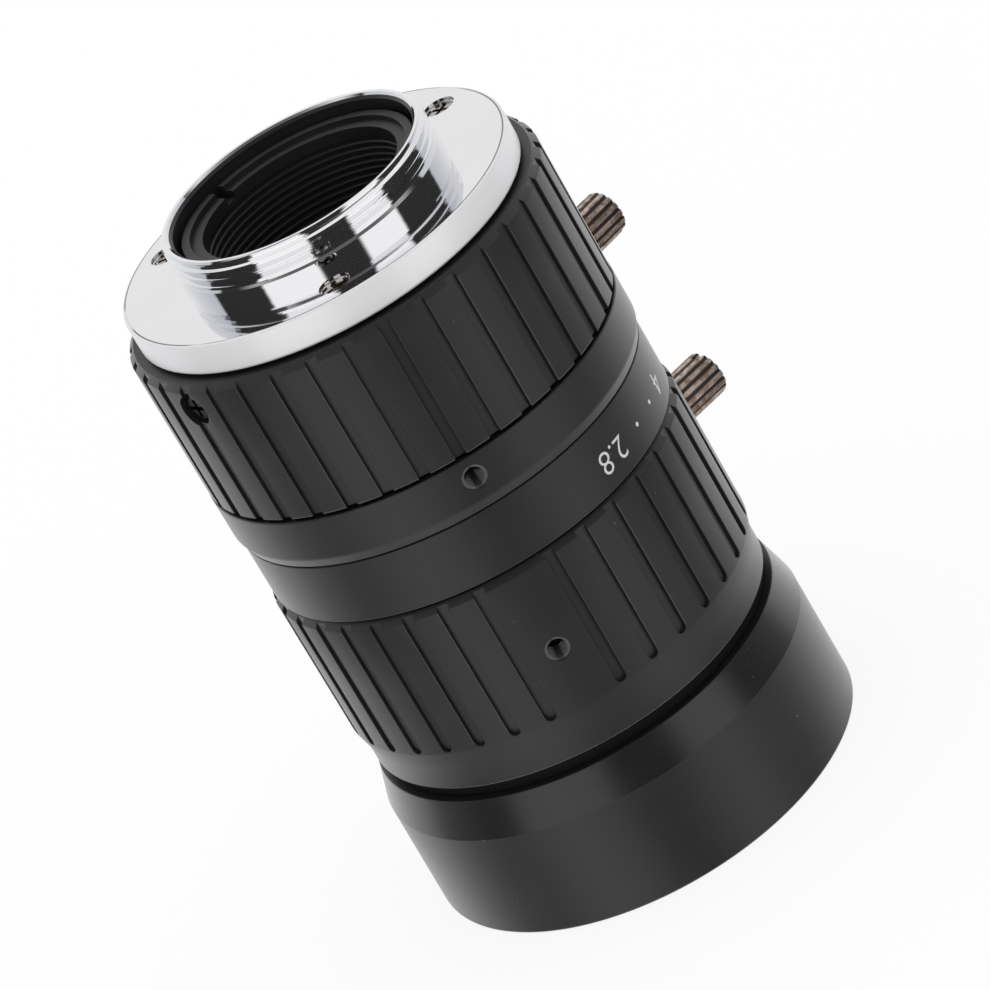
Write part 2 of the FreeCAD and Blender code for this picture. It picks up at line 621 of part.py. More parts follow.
def arc_slot(path, half, z, height):
    """Slot with round ends along the arc through three points."""
    circle = Part.Arc(path[0], path[1], path[2]).toShape().Curve
    centre = V(circle.Center)
    radius = circle.Radius
    first = path[0] - centre
    last = path[2] - centre
    middle = path[1] - centre
    outer = Part.Arc(centre + unit(first) * (radius + half), centre + unit(middle) * (radius + half),
                     centre + unit(last) * (radius + half)).toShape()
    inner = Part.Arc(centre + unit(last) * (radius - half), centre + unit(middle) * (radius - half),
                     centre + unit(first) * (radius - half)).toShape()
    a = Part.makeLine(outer.Vertexes[-1].Point, inner.Vertexes[0].Point)
    b = Part.makeLine(inner.Vertexes[-1].Point, outer.Vertexes[0].Point)
    face = Part.Face(Part.Wire(Part.__sortEdges__([outer, a, inner, b])))
    slot = face.extrude(V(0, 0, height))
    for end in (path[0], path[2]):
        slot = slot.fuse(Part.makeCylinder(half, height, V(end.x, end.y, 0)))
    slot.translate(V(0, 0, z))
    return slot


def iris_cover():
    body = turned([
        (PLATE_BORE_R, Z_COVER_FRONT), (FRONT_BORE_R, Z_COVER_FRONT),
        (FRONT_BORE_R, Z_COVER_REAR), (PLATE_BORE_R, Z_COVER_REAR),
    ])
    low = Z_COVER_FRONT - CUT_OVER
    for k in range(BLADES):
        p = pivot_point(k)
        body = body.cut(Part.makeCylinder(PIN_R + FIT, COVER_T + 2 * CUT_OVER, V(p.x, p.y, low)))
    return body


def iris_blade(k):
    """Crescent with a pivot pin into the cover and a drive pin into the rotor's cam slot."""
    z = Z_COVER_REAR + (k + 0.5) * BLADE_PITCH - BLADE_T / 2
    first = BLADE_AZ + k * 360.0 / BLADES
    band = Part.makeCylinder(BLADE_OUT_R, BLADE_T).cut(Part.makeCylinder(IRIS_OPEN_R, BLADE_T))
    reach = BLADE_OUT_R * 2
    corners = [V(0, 0, 0)]
    for i in range(4):
        corners.append(polar(reach, first + BLADE_SPAN * i / 3))
    corners.append(corners[0])
    wedge = Part.Face(Part.makePolygon(corners)).extrude(V(0, 0, BLADE_T))
    blade = band.common(wedge)
    mid = (IRIS_OPEN_R + BLADE_OUT_R) / 2
    end = polar(mid, first + BLADE_SPAN)
    blade = blade.fuse(Part.makeCylinder((BLADE_OUT_R - IRIS_OPEN_R) / 2, BLADE_T, end))
    root = polar(mid, first)
    blade = blade.fuse(Part.makeCylinder((BLADE_OUT_R - IRIS_OPEN_R) / 2, BLADE_T, root))
    pivot = pivot_point(k)
    drive = drive_point(k, 0.0)
    for a, b in ((pivot, drive), (pivot, polar(mid, first))):
        blade = blade.fuse(strap(a, b, EAR_R, BLADE_T))
    blade.translate(V(0, 0, z))
    foot = Z_COVER_FRONT + FIT
    blade = blade.fuse(Part.makeCylinder(PIN_R, z + BLADE_T - foot, V(pivot.x, pivot.y, foot)))
    top = Z_ROTOR_REAR - FIT
    blade = blade.fuse(Part.makeCylinder(PIN_R, top - z, V(drive.x, drive.y, z)))
    return blade.removeSplitter()


def strap(a, b, half, thickness):
    along = unit(b - a)
    side = V(-along.y, along.x, 0) * half
    corners = [a + side, b + side, b - side, a - side, a + side]
    body = Part.Face(Part.makePolygon(corners)).extrude(V(0, 0, thickness))
    for end in (a, b):
        body = body.fuse(Part.makeCylinder(half, thickness, V(end.x, end.y, 0)))
    return body


def iris_grip():
    z_groove = Z_IRIS_REAR - IRIS_GROOVE_LEN
    z_cone = z_groove - IRIS_FRONT_BAND
    body = turned([
        (IRIS_BORE_R, Z_IRIS_REAR), (GRIP_R - GRIP_CHAMFER, Z_IRIS_REAR),
        (GRIP_R, Z_IRIS_REAR - GRIP_CHAMFER_LEN), (GRIP_R, z_cone),
        (IRIS_RIM_R, z_cone - IRIS_FRONT_CONE), (IRIS_RIM_R, Z_IRIS_FRONT, GRIP_FRONT_EDGE),
        (IRIS_BORE_R, Z_IRIS_FRONT),
    ])
    cutter = groove_cutter(Z_IRIS_REAR, z_groove, True)
    per_pad = GROOVES // IRIS_PADS
    cuts = []
    for i in range(GROOVES):
        if i % per_pad:
            cuts.append(at_azimuth(cutter, IRIS_GROOVE_AZ + i * 360.0 / GROOVES))
    body = body.cut(Part.makeCompound(cuts))
    for i in range(IRIS_PADS):
        azimuth = IRIS_GROOVE_AZ + i * 360.0 / IRIS_PADS
        body = body.cut(tapped(GRIP_R, Z_IRIS_TAP, azimuth, IRIS_BORE_R - CUT_OVER))
    outer = IRIS_BORE_R + DRIVE_PIN_BITE
    return body.cut(radial_rod(DRIVE_PIN_R, IRIS_BORE_R - CUT_OVER, outer, DRIVE_PIN_AZ, Z_DRIVE_PIN))


def iris_drive_pin():
    inner = ROTOR_R - DRIVE_PIN_BITE
    outer = IRIS_BORE_R + DRIVE_PIN_BITE
    return radial_rod(DRIVE_PIN_R, inner, outer, DRIVE_PIN_AZ, Z_DRIVE_PIN)


def front_cell():
    low = Z_COVER_FRONT - FRONT_CELL_LEN
    return turned([
        (INNER_LEDGE_R, Z_COVER_FRONT), (FRONT_BORE_R, Z_COVER_FRONT), (FRONT_BORE_R, low),
        (FRONT_GLASS_R, low), (FRONT_GLASS_R, Z_FRONT_SPACER), (INNER_GLASS_R, Z_FRONT_SPACER),
        (INNER_GLASS_R, Z_INNER_GLASS), (INNER_LEDGE_R, Z_INNER_GLASS),
    ])


def front_spacer():
    return turned([
        (FRONT_SPACER_R, Z_FRONT_GLASS), (FRONT_GLASS_R, Z_FRONT_GLASS),
        (FRONT_GLASS_R, Z_FRONT_SPACER), (FRONT_SPACER_R, Z_FRONT_SPACER),
    ])


def front_retainer():
    low = Z_RETAINER - RETAINER_LEN
    body = turned([
        (RETAINER_BORE_R, Z_RETAINER), (FRONT_GLASS_R, Z_RETAINER),
        (FRONT_GLASS_R, low), (RETAINER_BORE_R, low),
    ])
    height = SPANNER_SLOT_DEPTH + CUT_OVER
    inner = RETAINER_BORE_R - CUT_OVER
    return body.cut(spanner_slots(inner, FRONT_GLASS_R + CUT_OVER, low - CUT_OVER, height))


def stop_ring():
    return turned([
        (NOSE_R, Z_STOP_FRONT), (STOP_RING_R, Z_STOP_FRONT),
        (STOP_RING_R, Z_STOP_REAR), (NOSE_R, Z_STOP_REAR),
    ])


def hood():
    lip_rear = Z_NOSE
    lip_front = lip_rear - HOOD_LIP_T
    cone_end = Z_HOOD_FRONT + HOOD_MOUTH_LEN
    return turned([
        (NOSE_R, Z_STOP_FRONT), (HOOD_REAR_R, Z_STOP_FRONT), (HOOD_SHOULDER_R, Z_STOP_FRONT - HOOD_CONE_LEN),
        (HOOD_R, Z_HOOD_FRONT, HOOD_EDGE), (HOOD_MOUTH_R, Z_HOOD_FRONT), (HOOD_MOUTH_R, cone_end),
        (HOOD_R - HOOD_THROAT_WALL, cone_end), (HOOD_LIP_R, lip_front), (HOOD_LIP_R, lip_rear),
        (NOSE_R, lip_rear),
    ])


def lock_screw(r_surface, r_pressed, azimuth, z):
    """Knurled, slotted thumb screw whose tip stops short of the surface it presses on."""
    head = profile([
        (0, 0), (LOCK_HEAD_R - LOCK_FOOT, 0), (LOCK_HEAD_R, LOCK_FOOT),
        (LOCK_HEAD_R, LOCK_HEAD_LEN, LOCK_EDGE), (0, LOCK_HEAD_LEN),
    ]).revolve(V(0, 0, 0), V(0, 0, 1), 360)
    groove = Part.makeCylinder(LOCK_KNURL_R, LOCK_HEAD_LEN + 2 * CUT_OVER, V(LOCK_HEAD_R, 0, -CUT_OVER))
    head = head.cut(Part.makeCompound(ring_of(groove, LOCK_KNURLS, 0.0)))
    slot = Part.makeBox(LOCK_HEAD_R * 3, LOCK_SLOT_W, LOCK_SLOT_DEPTH + CUT_OVER,
                        V(-LOCK_HEAD_R * 1.5, -LOCK_SLOT_W / 2, LOCK_HEAD_LEN - LOCK_SLOT_DEPTH))
    head = head.cut(slot)
    base = r_surface + LOCK_STAND
    shank = Part.makeCylinder(TAP_R - TAP_FIT, base - r_pressed - TIP_CLEAR,
                              V(0, 0, r_pressed + TIP_CLEAR - base))
    return outward(head.fuse(shank), base, azimuth, z)


def save(name, shape):
    solids = shape.Solids
    for solid in solids:
        if not solid.isValid() or solid.Volume <= 0:
            raise RuntimeError("bad solid in " + name)
    if len(solids) == 1:
        shape = solids[0]
    else:
        shape = Part.makeCompound(solids)
    shape.translate(V(0, 0, -Z_HOOD_FRONT))
    shape.exportStep("parts/" + name + ".step")
    faces = sum(len(s.Faces) for s in solids)
    print(name, len(solids), "solids", faces, "faces", round(shape.Volume, 1), "mm3")


def main():
    os.makedirs("parts", exist_ok=True)
    save("c_mount_flange", c_mount_flange())
    save("flange_screws", flange_screws())
    save("rear_barrel", rear_barrel())
    save("guide_bush", guide_bush())
    save("focus_key", focus_key())
    save("focus_grip", focus_grip())
    save("focus_screws", focus_screws())
    save("helicoid_nut", helicoid_nut())
    save("front_barrel", front_barrel())
    save("baffle_tube", baffle_tube())
    save("rear_cell", rear_cell())
    save("rear_glass_outer", glass(REAR_GLASS_R, REAR_LEDGE_R, Z_REAR_GLASS, Z_REAR_SPACER, 1.0, 0.0))
    save("rear_spacer", rear_spacer())
    save("rear_glass_inner", glass(REAR_GLASS_R, REAR_LEDGE_R, Z_REAR_INNER, Z_REAR_LEDGE, 0.0, -0.8))
    save("iris_housing", iris_housing())
    save("iris_cover", iris_cover())
    save("iris_rotor", iris_rotor())
    for k in range(BLADES):
        save("iris_blade_%d" % (k + 1), iris_blade(k))
    save("iris_grip", iris_grip())
    save("iris_drive_pin", iris_drive_pin())
    save("front_cell", front_cell())
    save("front_glass_inner", glass(INNER_GLASS_R, INNER_LEDGE_R, Z_INNER_GLASS, Z_FRONT_SPACER, -0.8, 0.0))
    save("front_spacer", front_spacer())
    save("front_glass_outer", glass(FRONT_GLASS_R, RETAINER_BORE_R, Z_FRONT_GLASS, Z_RETAINER, 0.0, 0.6))
    save("front_retainer", front_retainer())
    save("stop_ring", stop_ring())
    save("hood", hood())
    save("focus_lock_screw", lock_screw(BAND_R, TUBE_R, BAND_TAP_AZ, Z_BAND_TAP))
    save("iris_lock_screw", lock_screw(GRIP_R, CORE_R, IRIS_GROOVE_AZ, Z_IRIS_TAP))


main()
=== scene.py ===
import bpy
import bmesh
import json
import math
from mathutils import Matrix, Vector


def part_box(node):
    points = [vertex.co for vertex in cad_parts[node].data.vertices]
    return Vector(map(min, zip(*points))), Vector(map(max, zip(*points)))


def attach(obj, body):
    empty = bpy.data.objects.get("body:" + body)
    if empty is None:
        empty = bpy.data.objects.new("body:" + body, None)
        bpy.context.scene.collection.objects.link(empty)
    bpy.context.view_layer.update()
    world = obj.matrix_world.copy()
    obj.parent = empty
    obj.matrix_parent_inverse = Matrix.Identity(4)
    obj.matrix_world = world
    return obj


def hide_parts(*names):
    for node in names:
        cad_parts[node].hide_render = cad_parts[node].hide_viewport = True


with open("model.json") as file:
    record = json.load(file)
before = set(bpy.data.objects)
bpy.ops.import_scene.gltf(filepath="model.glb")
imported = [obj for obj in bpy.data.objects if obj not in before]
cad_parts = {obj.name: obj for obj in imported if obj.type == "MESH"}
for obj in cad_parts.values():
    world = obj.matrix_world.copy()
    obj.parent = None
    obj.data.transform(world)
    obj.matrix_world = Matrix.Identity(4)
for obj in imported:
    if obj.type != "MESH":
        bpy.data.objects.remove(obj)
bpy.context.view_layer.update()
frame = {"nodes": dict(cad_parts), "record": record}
mm = 0.001
print("frame loaded:", len(frame["nodes"]), "nodes")


# heights of the CAD pieces in mm, with the camera side on top
def rearOf(node):
    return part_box(node)[1].z / mm


def frontOf(node):
    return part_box(node)[0].z / mm


mountLength = 4.2  # of the thread that stands above the flange's seat
seat = rearOf("c_mount_flange") - mountLength


# mesh helpers, all in mm until the mesh is written
def shown(name, data):
    piece = bpy.data.objects.new(name, data)
    bpy.context.scene.collection.objects.link(piece)
    return piece


def newPiece(name, points, faces):
    mesh = bpy.data.meshes.new(name)
    mesh.from_pydata([(x * mm, y * mm, z * mm) for x, y, z in points], [], faces)
    return shown(name, mesh)


def smoothed(piece, sharpAngle):
    piece.data.shade_smooth()
    piece.data.set_sharp_from_angle(angle=math.radians(sharpAngle))
    return piece


def clean(piece):
    work = bmesh.new()
    work.from_mesh(piece.data)
    bmesh.ops.remove_doubles(work, verts=work.verts, dist=1.5e-7)
    bmesh.ops.dissolve_degenerate(work, dist=1e-8, edges=work.edges)
    loose = [edge for edge in work.edges if not edge.link_faces]
    bmesh.ops.delete(work, geom=loose, context="EDGES")
    bmesh.ops.recalc_face_normals(work, faces=work.faces)
    work.to_mesh(piece.data)
    work.free()
    return smoothed(piece, 25)


# closed outline of (radius, height) corners; a third number rounds the corner
def roundedOutline(corners, steps=5, guard=0.02):
    path = []
    for i, corner in enumerate(corners):
        here = Vector(corner[:2])
        if len(corner) == 2:
            path.append(here)
            continue
        back = (Vector(corners[i - 1][:2]) - here).normalized()
        ahead = (Vector(corners[(i + 1) % len(corners)][:2]) - here).normalized()
        half = back.angle(ahead) / 2
        run = corner[2] / math.tan(half)
        centre = here + (back + ahead).normalized() * (corner[2] / math.sin(half))
        first, last = here + back * run - centre, here + ahead * run - centre
        path.append(centre + first + back * guard)
        for s in range(steps + 1):
            t = s / steps
            path.append(centre + (first * (1 - t) + last * t).normalized() * corner[2])
        path.append(centre + last + ahead * guard)
    return path


# one column of a helical thread: crest, flank, root, flank, from the start height to the end height
def threadColumn(thread, turn):
    low, high = thread["start"], thread["end"]
    column = []
    for lap in range(-1, math.ceil((high[1] - low[1]) / thread["pitch"]) + 1):
        for phase, depth in ((0.0, 0.0), (0.13, 0.0), (0.46, 1.0), (0.64, 1.0)):
            z = low[1] + thread["pitch"] * (lap + phase + turn)
            if z <= low[1]:
                column.append(low)
            elif z >= high[1]:
                column.append(high)
            else:
                fade = min(1.0, (z - low[1]) / thread["runOut"])
                r = thread["crest"] + thread["depth"] * depth * fade
                if thread["depth"] < 0:
                    r = min(r, high[0] + (high[1] - z))
                column.append((r, z))
    return column


# turned piece; with a thread, the outline runs from the thread's end round to its start
def turned(name, corners, segments=256, thread=None):
    path = roundedOutline(corners)
    points, faces = [], []
    rows = len(path)
    for i in range(segments):
        a = 2 * math.pi * i / segments
        points += [(p.x * math.cos(a), p.x * math.sin(a), p.y) for p in path]
    for i in range(segments):
        here, there = i * rows, (i + 1) % segments * rows
        for j in range(rows - (1 if thread else 0)):
            k = (j + 1) % rows
            faces.append((here + j, here + k, there + k, there + j))
    if thread:
        base = len(points)
        for i in range(segments + 1):
            a = 2 * math.pi * i / segments
            column = threadColumn(thread, i / segments)
            points += [(r * math.cos(a), r * math.sin(a), z) for r, z in column]
        high = len(column)
        for i in range(segments):
            for j in range(high - 1):
                a = base + i * high + j
                faces.append((a, a + 1, a + high + 1, a + high))
    return clean(newPiece(name, points, faces))


def block(name, low, high):
    x0, y0, z0 = low
    x1, y1, z1 = high
    points = [(x, y, z) for x in (x0, x1) for y in (y0, y1) for z in (z0, z1)]
    faces = [(0, 1, 3, 2), (4, 6, 7, 5), (0, 4, 5, 1), (2, 3, 7, 6), (0, 2, 6, 4), (1, 5, 7, 3)]
    return clean(newPiece(name, points, faces))


# part of a ring between two azimuths, as a cutter for slots that a radial pin swings in
def sector(name, inner, outer, azimuths, heights, steps=24):
    points, faces = [], []
    for i in range(steps + 1):
        a = math.radians(azimuths[0] + (azimuths[1] - azimuths[0]) * i / steps)
        for r, z in ((inner, heights[0]), (outer, heights[0]), (outer, heights[1]), (inner, heights[1])):
            points.append((r * math.cos(a), r * math.sin(a), z))
    for i in range(steps):
        for j in range(4):
            k = (j + 1) % 4
            faces.append((i * 4 + j, i * 4 + k, i * 4 + 4 + k, i * 4 + 4 + j))
    faces += [(3, 2, 1, 0), tuple(steps * 4 + j for j in range(4))]
    return clean(newPiece(name, points, faces))


def moved(piece, matrix):
    piece.data.transform(matrix)
    return piece


def turnedTo(azimuth):
    return Matrix.Rotation(math.radians(azimuth), 4, "Z")


def around(radius, azimuth, height=0):
    return turnedTo(azimuth) @ Matrix.Translation((radius * mm, 0, height * mm))


# stands a piece built along +Z on the lens axis so that its +Z points outwards
def outwards(radius, azimuth, height):
    return around(radius, azimuth, height) @ Matrix.Rotation(math.radians(90), 4, "Y")


def joined(name, pieces):
    work = bmesh.new()
    for piece in pieces:
        work.from_mesh(piece.data)
        bpy.data.objects.remove(piece)
    mesh = bpy.data.meshes.new(name)
    work.to_mesh(mesh)
    work.free()
    return shown(name, mesh)


# turns what the modifiers make into the piece's own plain mesh
def settled(piece):
    evaluated = piece.evaluated_get(bpy.context.evaluated_depsgraph_get())
    mesh = bpy.data.meshes.new_from_object(evaluated)
    piece.modifiers.clear()
    piece.data = mesh
    return piece


def cutAway(piece, cutters):
    cutter = joined(piece.name + "Cutter", cutters)
    step = piece.modifiers.new("cut", "BOOLEAN")
    step.operation = "DIFFERENCE"
    step.solver = "EXACT"
    step.object = cutter
    settled(piece)
    bpy.data.objects.remove(cutter)
    clean(piece)


# a socket that takes part in Python sums, and the sheet of nodes it belongs to
class Wire:
    def __init__(self, sheet, socket):
        self.sheet, self.socket = sheet, socket

    def __add__(self, other):
        return self.sheet.maths("ADD", self, other)

    def __sub__(self, other):
        return self.sheet.maths("SUBTRACT", self, other)

    def __rsub__(self, other):
        return self.sheet.maths("SUBTRACT", other, self)

    def __mul__(self, other):
        return self.sheet.maths("MULTIPLY", self, other)

    def __truediv__(self, other):
        return self.sheet.maths("DIVIDE", self, other)

    def __lt__(self, other):
        return self.sheet.maths("LESS_THAN", self, other)

    __radd__ = __add__
    __rmul__ = __mul__


class NodeSheet:
    def __init__(self, tree):
        self.tree = tree

    # output is a socket's name or number, a tuple of them, or None for the tree's last node
    def node(self, kind, settings=None, values=None, output=0):
        made = self.tree.nodes.new(kind)
        for key, value in (settings or {}).items():
            if key == "stops":
                while len(made.color_ramp.elements) < len(value):
                    made.color_ramp.elements.new(0.5)
                for stop, (place, colour) in zip(made.color_ramp.elements, value):
                    stop.position, stop.color = place, (*colour, 1)
            else:
                setattr(made, key, value)
        for key, value in (values or {}).items():
            if isinstance(value, Wire):
                self.tree.links.new(value.socket, made.inputs[key])
            else:
                made.inputs[key].default_value = value
        if isinstance(output, tuple):
            return [Wire(self, made.outputs[key]) for key in output]
        return None if output is None else Wire(self, made.outputs[output])

    def maths(self, operation, a, b=0.0):
        return self.node("ShaderNodeMath", {"operation": operation}, {0: a, 1: b})

    def mixed(self, factor, a, b):
        a, b = (colour if isinstance(colour, Wire) else (*colour, 1) for colour in (a, b))
        return self.node("ShaderNodeMix", {"data_type": "RGBA"}, {0: factor, 6: a, 7: b}, 2)

    # 0 below the lower value, 1 above the upper one, smooth between
    def ramp(self, value, low, high):
        return self.node("ShaderNodeMapRange", {"interpolation_type": "SMOOTHSTEP"}, {
            "Value": value, "From Min": low, "From Max": high})

    def place(self, output="Object"):
        return self.node("ShaderNodeTexCoord", output=output)

    def split(self, vector):
        return self.node("ShaderNodeSeparateXYZ", values={0: vector}, output=(0, 1, 2))

    def length(self, a, b):
        return self.maths("SQRT", a * a + b * b)

    def scaled(self, vector, scales):
        return self.node("ShaderNodeVectorMath", {"operation": "MULTIPLY"}, {0: vector, 1: scales})

    def noise(self, vector, scale=1.0, detail=2.0):
        return self.node("ShaderNodeTexNoise", values={"Vector": vector, "Scale": scale, "Detail": detail})


# Geometry Nodes: copies of a piece round the lens axis, with every n-th place left out
def ringTree():
    tree = bpy.data.node_groups.new("ringOfCopies", "GeometryNodeTree")
    tree.is_modifier = True
    sockets = tree.interface
    inputs = {"Geometry": "Geometry", "Count": "Int", "Leave Out Every": "Int", "First Angle": "Float",
              "Material": "Material"}
    for label, kind in inputs.items():
        sockets.new_socket(label, in_out="INPUT", socket_type="NodeSocket" + kind)
    sockets.new_socket("Geometry", in_out="OUTPUT", socket_type="NodeSocketGeometry")
    sheet = NodeSheet(tree)
    piece, count, every, first, finish = sheet.node("NodeGroupInput", output=tuple(inputs))
    number = sheet.node("GeometryNodeInputIndex") + 1
    angle = first + number * (2 * math.pi) / count
    keep = sheet.node("FunctionNodeCompare", {"operation": "GREATER_THAN"}, {
        "A": sheet.maths("MODULO", number, every), "B": 0.5})
    turn = sheet.node("FunctionNodeEulerToRotation", values={
        "Euler": sheet.node("ShaderNodeCombineXYZ", values={"Z": angle})})
    spots = sheet.node("GeometryNodePoints", values={"Count": count})
    copies = sheet.node("GeometryNodeInstanceOnPoints", values={
        "Points": spots, "Selection": keep, "Instance": piece, "Rotation": turn})
    real = sheet.node("GeometryNodeRealizeInstances", values={"Geometry": copies})
    coated = sheet.node("GeometryNodeSetMaterial", values={"Geometry": real, "Material": finish})
    sheet.node("NodeGroupOutput", values={"Geometry": coated}, output=None)
    return tree


copiesTree = ringTree()


def ringOf(piece, count, first, slotName, every=1000):
    step = piece.modifiers.new("ring", "NODES")
    step.node_group = copiesTree
    wanted = {"Count": count, "Leave Out Every": every, "First Angle": math.radians(first),
              "Material": finishes[slotName]}
    for item in copiesTree.interface.items_tree:
        if item.in_out == "INPUT" and item.name in wanted:
            step[item.identifier] = wanted[item.name]
    return clean(settled(piece))


class Finish(NodeSheet):
    def __init__(self, name):
        self.material = bpy.data.materials.new(name)
        self.material.use_nodes = True
        super().__init__(self.material.node_tree)
        self.tree.nodes.clear()
        self.at = self.place()
        self.x, self.y, self.z = self.split(self.at)
        self.radius = self.length(self.x, self.y)

    # limits in mm
    def between(self, value, low, high, soft=0.05):
        up = self.ramp(value, (low - soft) * mm, (low + soft) * mm)
        return up * (1 - self.ramp(value, (high - soft) * mm, (high + soft) * mm))

    # how far the surface faces away from the lens axis, and how far up or down
    def slant(self):
        nx, ny, nz = self.split(self.place("Normal"))
        return (nx * self.x + ny * self.y) / self.radius, self.maths("ABSOLUTE", nz)

    # inside the tapped holes that are spread evenly round a ring
    def inHoles(self, ring):
        share = 2 * math.pi / tap["count"]
        shift = share / 2 + 2 * math.pi - math.radians(ring["tapAzimuth"])
        off = self.maths("MODULO", self.maths("ARCTAN2", self.y, self.x) + shift, share) - share / 2
        apart = self.length(off * self.radius, self.z - ring["tapLevel"] * mm)
        return 1 - self.ramp(apart, (tap["major"] - 0.1) * mm, tap["major"] * mm)

    def bump(self, height, distance, before=None):
        values = {"Height": height, "Distance": distance, "Strength": 1.0}
        if before:
            values["Normal"] = before
        return self.node("ShaderNodeBump", values=values)

    def surface(self, **sockets):
        names = {"colour": "Base Color", "metal": "Metallic", "rough": "Roughness", "ior": "IOR",
                 "normal": "Normal", "clear": "Transmission Weight", "film": "Thin Film Thickness",
                 "filmIor": "Thin Film IOR"}
        shader = self.node("ShaderNodeBsdfPrincipled", values={names[k]: v for k, v in sockets.items()})
        self.node("ShaderNodeOutputMaterial", values={"Surface": shader}, output=None)
        return self.material


# rimLight sets a painted highlight along the silhouettes; worn is the bevel colour, partly edge wear and
# partly painted highlight; cut is a painted highlight in the tapped holes
blackLook = {"dark": (0.0075, 0.0075, 0.008), "light": (0.0115, 0.0115, 0.012), "rough": 0.46,
             "ior": 1.55, "gloss": None, "rimLight": 0.4, "lineDepth": 0.0012, "lineRough": 0.05,
             "grainDepth": 0.0006, "dustFrom": 0.81, "dust": 0.3, "dustColour": (0.35, 0.35, 0.36),
             "worn": (0.045, 0.045, 0.047), "cut": (0.045, 0.045, 0.047)}


# satin black anodising with fine turning lines round the axis and a few specks of dust, with painted
# highlights along the silhouettes, on the bevels (partly edge wear) and in the tapped holes
def anodised(name, tapped=None, **changes):
    look = {**blackLook, **changes}
    f = Finish(name)
    lines = f.noise(f.scaled(f.at, (25, 25, 9000)), detail=3)
    cloud = f.noise(f.at, 260, 4)
    grain = f.noise(f.at, 16000, 2)
    dust = f.ramp(f.noise(f.at, 2100, 1), look["dustFrom"], look["dustFrom"] + 0.03)
    colour = f.mixed(dust * look["dust"], f.mixed(cloud, look["dark"], look["light"]), look["dustColour"])
    rough = look["rough"] + (cloud - 0.5) * 0.08 + (lines - 0.5) * look["lineRough"]
    if look["gloss"]:
        low, high, smooth = look["gloss"]
        rough = rough + f.between(f.z, low, high) * (smooth - look["rough"])
    # painted highlight: the colour turns whiter where the surface is seen edge-on and faces outwards, a
    # painted sheen along the silhouettes
    edge = f.maths("POWER", f.node("ShaderNodeLayerWeight", values={"Blend": 0.5}, output=1), 3)
    out, up = f.slant()
    colour = f.mixed(edge * f.ramp(out, 0.4, 0.8) * look["rimLight"], colour, (1, 1, 1))
    # lighter, glossier bevels and chamfers that face sideways: partly edge wear, partly a painted highlight
    # on the edges
    worn = f.ramp(out, 0.35, 0.55) * (1 - f.ramp(out, 0.85, 0.95)) * (1 - f.ramp(up, 0.2, 0.3))
    colour = f.mixed(worn, colour, look["worn"])
    rough = rough - worn * 0.12
    if tapped:
        # painted highlight in the tapped holes: a lighter colour stands in for light caught on the threads,
        # which are also made glossier
        hole = f.inHoles(tapped)
        colour = f.mixed(hole, colour, look["cut"])
        rough = rough - hole * 0.3
    normal = f.bump(lines, look["lineDepth"] * mm)
    normal = f.bump(grain, look["grainDepth"] * mm, normal)
    return f.surface(colour=colour, rough=rough, ior=look["ior"], normal=normal)


# bright chrome, plainer on the flange's wall, black inside, with a thin line scribed on the seat
def chromeFinish():
    look = {"colour": (0.92, 0.92, 0.925), "dull": (0.86, 0.86, 0.88), "rough": 0.03,
            "wallColour": (0.76, 0.76, 0.77), "wallRough": 0.25, "wallFrom": 18.45, "wallMetal": 0.12,
            "black": (0.012, 0.012, 0.013), "blackRadius": 11.85, "lineDepth": 0.0022,
            "cloudDepth": 0.004, "scribe": (18.225, 18.375)}
    f = Finish("polishedChrome")
    cloud = f.noise(f.at, 180, 3)
    lines = f.noise(f.scaled(f.at, (20, 20, 3200)), detail=3)
    inside = f.radius < look["blackRadius"] * mm
    wall = f.ramp(f.radius, (look["wallFrom"] - 0.1) * mm, look["wallFrom"] * mm)
    broken = f.ramp(f.noise(f.at, 90, 3), 0.42, 0.55) * 0.75
    scribe = f.between(f.radius, *look["scribe"], soft=0.015) * broken
    colour = f.mixed(wall, f.mixed(cloud, look["dull"], look["colour"]), look["wallColour"])
    colour = f.mixed(f.maths("MAXIMUM", inside, scribe), colour, look["black"])
    rough = look["rough"] + cloud * 0.03 + wall * look["wallRough"] + inside * 0.25
    normal = f.bump(lines, look["lineDepth"] * mm, f.bump(cloud, look["cloudDepth"] * mm))
    metal = 1 - inside - wall * (1 - look["wallMetal"])
    return f.surface(colour=colour, metal=metal, rough=rough, normal=normal)


def metalFinish(name, dark, light, rough):
    f = Finish(name)
    cloud = f.noise(f.at, 700, 3)
    lines = f.noise(f.scaled(f.at, (40, 40, 7000)), detail=2)
    return f.surface(colour=f.mixed(cloud, dark, light), metal=1.0, rough=rough + cloud * 0.12,
                     normal=f.bump(lines, 0.002 * mm))


